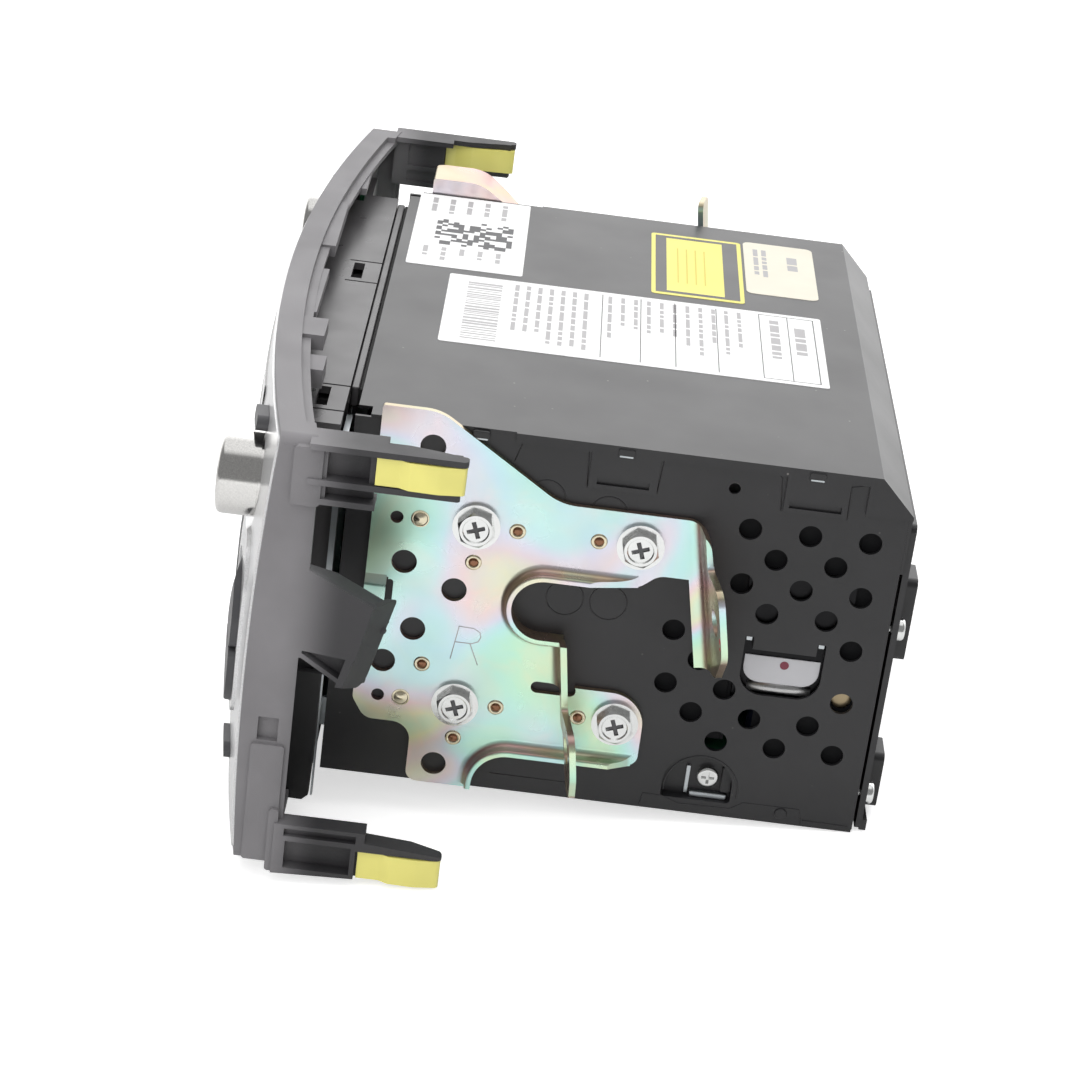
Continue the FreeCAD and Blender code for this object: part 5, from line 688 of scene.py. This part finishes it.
# A black sheet just inside the right side wall: painted shade behind the vents
SHADE_SHEET_INNER, SHADE_SHEET_FACE = 85.7, 86.1
WINDOW_CATCHES = (104.3, 122.7)
TAG_FRONT, TAG_REAR, TAG_LEVEL = 108.2, 118.9, -6.4
TAG_CORNER = (4.3, 4.1)
VENT_DISC = ((2.5, 0), (2.5, 0.3), (2.0, 0.4), (0.6, 0.5))
WINDOW_DOT = ((1.15, 0), (1.15, 0.08), (0.9, 0.1))
NOSE_SKIRT = ((-12.0, -57.0), (-4.0, -57.2), (-2.4, -55.6), (-1.9, -40.0), (-1.9, -20.0), (-12.0, -20.0))
SKIRT_INNER, SKIRT_STRIP, SKIRT_OUTER = 92.2, 94.1, 94.4
RIVETS = (
    (42.7, 24.2), (32.7, 14.3), (22.8, -15.7), (42.8, -25.5), (32.9, -35.7), (63.1, 24.2), (63.9, -25.5),
)
RIVET_COLLAR = ((2.15, -0.05), (2.05, 0.10), (1.75, 0.26), (1.45, 0.28), (1.2, 0.16), (1.1, -0.04))
RIVET_CORE = ((1.22, -0.03), (1.2, 0.02), (0.95, 0.22), (0.55, 0.34), (0.1, 0.36))
PIPS = ((18.3, 24.4), (18.4, -25.9))
PIP = ((2.35, -0.05), (2.25, 0.16), (1.95, 0.22), (1.75, 0.10), (1.0, 0.42), (0.15, 0.62))
BRACKET_SCREWS = ((32.4, 24.4), (32.4, -25.6), (73.5, 24.4), (73.5, -25.6))
SCREW_HEAD, SCREW_DISH, SCREW_TURN = 3.4, 0.45, 20
CROSS_DEEP, CROSS_FLOOR = 0.7, 0.3
CROSS_ARM = ((2.0, -0.42), (2.0, 0.42), (0.42, 0.42))
FLANGE_SWEEP, FLANGE_LEAN = math.radians(10), math.radians(11)
FLANGE_HOLE = (103.5, 93.6, 12)
EAR_MARKS = ((109.2, 9.6, 0.85), (108.9, 7.4, 0.5))
LETTER_AT, LETTER_SIZE, LETTER_STROKE = (29.8, -13.2), (8.2, 9.4), 0.13
LETTER_BOWL = (
    (0.16, 1.0), (0.62, 0.98), (0.82, 0.88), (0.86, 0.74), (0.80, 0.60), (0.60, 0.52), (0.08, 0.52),
)


def side_plate(name, outline, low, high, finish, soft=0.0):
    """A plate that lies flat against the case's right side."""
    slab(name, outline, "x", low, high, finish, soft)


def make_case_marks():
    """Embossed rings, pips and folds on the case's right side, with the cover's hooks."""
    for index, (y, z) in enumerate(CASE_RINGS):
        ring("case_ring_%d" % index, (SIDE, y, z), RIGHT, CASE_RING, CASE_RING_BEAD, ENAMEL_CLEAN)
    for index, (y, z) in enumerate(CASE_PIPS):
        lathe("case_pip_%d" % index, CASE_PIP, (SIDE, y, z), RIGHT, ENAMEL_CLEAN, 24)
    for index, corners in enumerate(CASE_FOLDS):
        tube("case_fold_%d" % index, [(SIDE, y, z) for y, z in corners], CASE_FOLD_BEAD, ENAMEL_CLEAN)
    y, z = RECESS_CENTRE
    arch = []
    for degrees in range(-8, 189, 14):
        turn = math.radians(degrees)
        arch.append((SIDE, y + RECESS_RADIUS * math.cos(turn), z + RECESS_RADIUS * math.sin(turn)))
    tube("recess_rim", arch, RECESS_BEAD, ENAMEL_CLEAN)
    for index, (y, z) in enumerate(COVER_HOOKS):
        hook = round_rect(y - 2.1, y + 2.1, z - 1.5, z + 0.9, 0.4, 2)
        edge = round_rect(y - 1.7, y + 1.7, z - 1.35, z - 0.95, 0.15, 1)
        side_plate("cover_hook_%d" % index, hook, 88.6, 90.1, ENAMEL_CLEAN, 0.25)
        side_plate("cover_hook_edge_%d" % index, edge, 89.9, 90.15, STEEL)


def make_screw_shadows():
    """Painted shade: dark floors in the cross recesses of the bracket screws."""
    for side, word in ((1, "right"), (-1, "left")):
        for index, (y, z) in enumerate(BRACKET_SCREWS):
            face = side * (BRACKET_FACE + SCREW_HEAD - SCREW_DISH)
            cross = []
            for k in range(4):
                turn = math.radians(90 * k + SCREW_TURN)
                for along, across in CROSS_ARM:
                    cross.append((
                        y + along * math.cos(turn) - across * math.sin(turn),
                        z + along * math.sin(turn) + across * math.cos(turn),
                    ))
            low, high = face - CROSS_DEEP * side, face - CROSS_FLOOR * side
            slab("%s_screw_cross_%d" % (word, index), cross, "x", low, high, INK_AND_SHADE)


def make_side_openings():
    """A black sheet behind the vents, painted shade where the case's inside shows through them, and what
    shows in the window and the recess.
    """
    blocks("vent_shade_sheet", VENT_AREAS, "x", SHADE_SHEET_INNER, SHADE_SHEET_FACE, VENT_SHADE)
    wide, high = TAG_CORNER
    tag = [(103.9, -3.0), (123.2, -3.0), (123.2, TAG_LEVEL)]
    for degrees in range(10, 91, 16):
        turn = math.radians(degrees)
        tag.append((TAG_REAR + wide * math.cos(turn), TAG_LEVEL - high * math.sin(turn)))
    for degrees in range(0, 91, 15):
        turn = math.radians(degrees)
        tag.append((TAG_FRONT - wide * math.sin(turn), TAG_LEVEL - high * math.cos(turn)))
    side_plate("window_tag", tag, 87.5, 87.8, TAG, 0.08)
    lathe("window_dot", WINDOW_DOT, (87.8, 114.2, -5.0), RIGHT, DARK_RED, 24)
    tube("window_barrel", [(86.6, 105.4, -11.9), (86.6, 121.8, -11.9)], 1.75, MOTOR, 20)
    for index, y in enumerate(WINDOW_CATCHES):
        catch = round_rect(y - 0.7, y + 0.7, 0.9, 2.1, 0.2, 2)
        side_plate("window_catch_%d" % index, catch, 87.3, 87.7, STEEL)
    lathe("vent_disc", VENT_DISC, (SHADE_SHEET_FACE, 130.1, -13.3), RIGHT, BRASS, 28)
    side_plate("recess_strip", round_rect(93.9, 94.9, -45.4, -37.4, 0.2, 2), 86.0, 86.8, STEEL, 0.1)
    side_plate("recess_foot", round_rect(95.4, 105.0, -45.9, -44.4, 0.3, 2), 86.0, 87.6, STEEL, 0.2)
    side_plate("recess_block", round_rect(103.2, 105.9, -43.8, -36.5, 0.5, 2), 86.0, 87.4, BLACK, 0.2)


def make_nose_skirts():
    """Plastic side skirts under the nose, each backed by a bright strip."""
    strip = round_rect(-1.95, -1.45, -55.6, -20.4, 0.2, 2)
    for side, word in ((1, "right"), (-1, "left")):
        inner = side * SKIRT_INNER
        slab("nose_skirt_" + word, NOSE_SKIRT, "x", inner, side * SKIRT_OUTER, BLACK, soft=0.3)
        slab("skirt_strip_" + word, strip, "x", inner, side * SKIRT_STRIP, STEEL)


def make_nose_lip_and_gap_shade():
    """The nose's rear lip, with a thin black rubber strip between it and the cover: painted shade over the
    front plate's top.
    """
    slab("nose_lip", round_rect(-88.0, 62.0, -3.55, -1.5, 0.6, 3), "z", 40.4, 45.6, NOSE, soft=0.3)
    # Painted shade in the gap between the nose and the cover
    slab("front_gap_shade", round_rect(-88.0, 62.0, -1.45, -0.55, 0.3, 3), "z", 40.4, 45.2, RUBBER, soft=0.2)


def make_bracket_marks(side):
    """Rivets and pips on a bracket's outer face."""
    word = "right" if side > 0 else "left"
    face = side * BRACKET_FACE
    out = (side, 0, 0)
    for index, (y, z) in enumerate(RIVETS):
        lathe("%s_rivet_collar_%d" % (word, index), RIVET_COLLAR, (face, y, z), out, GOLD, 32)
        lathe("%s_rivet_core_%d" % (word, index), RIVET_CORE, (face, y, z), out, BRONZE, 24)
    for index, (y, z) in enumerate(PIPS):
        lathe("%s_pip_%d" % (word, index), PIP, (face, y, z), out, GOLD, 32)


def make_side_letter():
    """The letter that tells the right bracket from the left, in thin grooved strokes."""
    def point(a, b):
        y, z = LETTER_AT
        wide, high = LETTER_SIZE
        return (BRACKET_FACE + 0.01, y + a * wide, z + b * high)
    tube("side_letter_stem", [point(0.0, 0.0), point(0.16, 1.0)], LETTER_STROKE, INK_GREY)
    tube("side_letter_bowl", [point(a, b) for a, b in LETTER_BOWL], LETTER_STROKE, INK_GREY)
    tube("side_letter_leg", [point(0.55, 0.52), point(0.86, -0.1)], LETTER_STROKE, INK_GREY)


def make_paint_marks():
    """Red inspection marks on the right upper flange's ear."""
    sweep, lean = FLANGE_SWEEP, FLANGE_LEAN
    hole_x, hole_y, hole_z = FLANGE_HOLE
    normal = (math.sin(sweep), -math.cos(sweep) * math.cos(lean), -math.cos(sweep) * math.sin(lean))
    for index, (x, height, radius) in enumerate(EAR_MARKS):
        back = (x - hole_x) * math.tan(sweep)
        spot = (
            x, hole_y + back * math.cos(lean) - (height - hole_z) * math.sin(lean),
            hole_z + back * math.sin(lean) + (height - hole_z) * math.cos(lean),
        )
        dab = ((radius, -0.03), (radius * 0.9, 0.05), (radius * 0.2, 0.08))
        lathe("ear_paint_%d" % index, dab, spot, normal, RED, 20)


make_case_marks()
make_screw_shadows()
make_side_openings()
make_nose_skirts()
make_nose_lip_and_gap_shade()
make_bracket_marks(1)
make_bracket_marks(-1)
make_side_letter()
make_paint_marks()


# Floor, surroundings and lamps

FLOOR_POINT = (0.0, 24.0, -59.8)
FLOOR_TILT = 4.79
FLOOR_SIZE = 3000.0
FLOOR_DROP = 0.05
FLOOR_GLOW = 0.62
FLOOR_MIRRORED = (-0.8, -0.15, 1.3, 0.0)
FAR_WALL, NEAR_SIDE, CEILING, FILL = 2.0, 0.26, 1.0, 0.42
AIM = (0, 60, 0)


def make_floor():
    """A pale floor under the lower arms and the rear of the case."""
    tilt = math.radians(FLOOR_TILT)
    along = Vector((0, math.cos(tilt), math.sin(tilt)))
    middle = Vector(FLOOR_POINT) - Vector((0, -math.sin(tilt), math.cos(tilt))) * FLOOR_DROP
    corners = []
    for a, b in ((-1, -1), (1, -1), (1, 1), (-1, 1)):
        corners.append(middle + Vector((a * FLOOR_SIZE, 0, 0)) + along * b * FLOOR_SIZE)
    mesh = bpy.data.meshes.new("floor")
    mesh.from_pydata([at(*c) for c in corners], [], [(0, 1, 2, 3)])
    made = material("floor", (0.86, 0.86, 0.86), 0.9, specular=0.1)
    found, links, shader = parts(made)
    rays = found.new("ShaderNodeLightPath")
    place_in = found.new("ShaderNodeTexCoord")
    across = along_axis(found, links, place_in.outputs["Object"], "X")
    far = map_range(found, links, across, FLOOR_MIRRORED)
    mirrored = combine(found, links, "MULTIPLY", far, rays.outputs["Is Glossy Ray"])
    seen = combine(found, links, "MULTIPLY", rays.outputs["Is Camera Ray"], FLOOR_GLOW)
    shader.inputs["Emission Color"].default_value = (1, 1, 1, 1)
    glow = combine(found, links, "MAXIMUM", mirrored, seen)
    links.new(glow, shader.inputs["Emission Strength"])
    mesh.materials.append(made)
    floor = bpy.data.objects.new("floor", mesh)
    bpy.context.scene.collection.objects.link(floor)


def make_world():
    """White surroundings; reflections find a bright far wall, a dim near side and a pale ceiling."""
    world = bpy.data.worlds.new("studio")
    bpy.context.scene.world = world
    world.use_nodes = True
    found, links = world.node_tree.nodes, world.node_tree.links
    back = found["Background"]
    back.inputs["Color"].default_value = (1, 1, 1, 1)
    rays = found.new("ShaderNodeLightPath").outputs
    direction = found.new("ShaderNodeTexCoord").outputs["Generated"]
    across = along_axis(found, links, direction, "X")
    height = along_axis(found, links, direction, "Z")
    wall = map_range(found, links, across, (-0.75, 0.15, FAR_WALL, NEAR_SIDE))
    ceiling = map_range(found, links, height, (0.80, 0.97, 0.0, CEILING))
    glow = combine(found, links, "MAXIMUM", wall, ceiling)
    mirrored = combine(found, links, "MULTIPLY", glow, rays["Is Glossy Ray"])
    seen = combine(found, links, "MAXIMUM", rays["Is Camera Ray"], rays["Is Transmission Ray"])
    fill = map_range(found, links, rays["Is Diffuse Ray"], (0.0, 1.0, 0.0, FILL))
    direct = combine(found, links, "MAXIMUM", mirrored, seen)
    links.new(combine(found, links, "MAXIMUM", direct, fill), back.inputs["Strength"])


def area_light(name, place_at, size, power):
    """A soft rectangular lamp turned to the middle of the case."""
    data = bpy.data.lights.new(name, "AREA")
    data.shape = "RECTANGLE"
    data.size, data.size_y = size
    data.energy = power
    lamp = bpy.data.objects.new(name, data)
    lamp.location = at(*place_at)
    lamp.rotation_mode = "QUATERNION"
    lamp.rotation_quaternion = (at(*AIM) - at(*place_at)).to_track_quat("-Z", "Y")
    lamp.visible_camera = False
    lamp.visible_glossy = False
    bpy.context.scene.collection.objects.link(lamp)


make_floor()
make_world()
area_light("top_softbox", (100, 60, 900), (1.2, 1.0), 7)
area_light("near_softbox", (900, -300, 500), (0.9, 0.8), 4.5)

bpy.context.scene.view_settings.view_transform = "Standard"
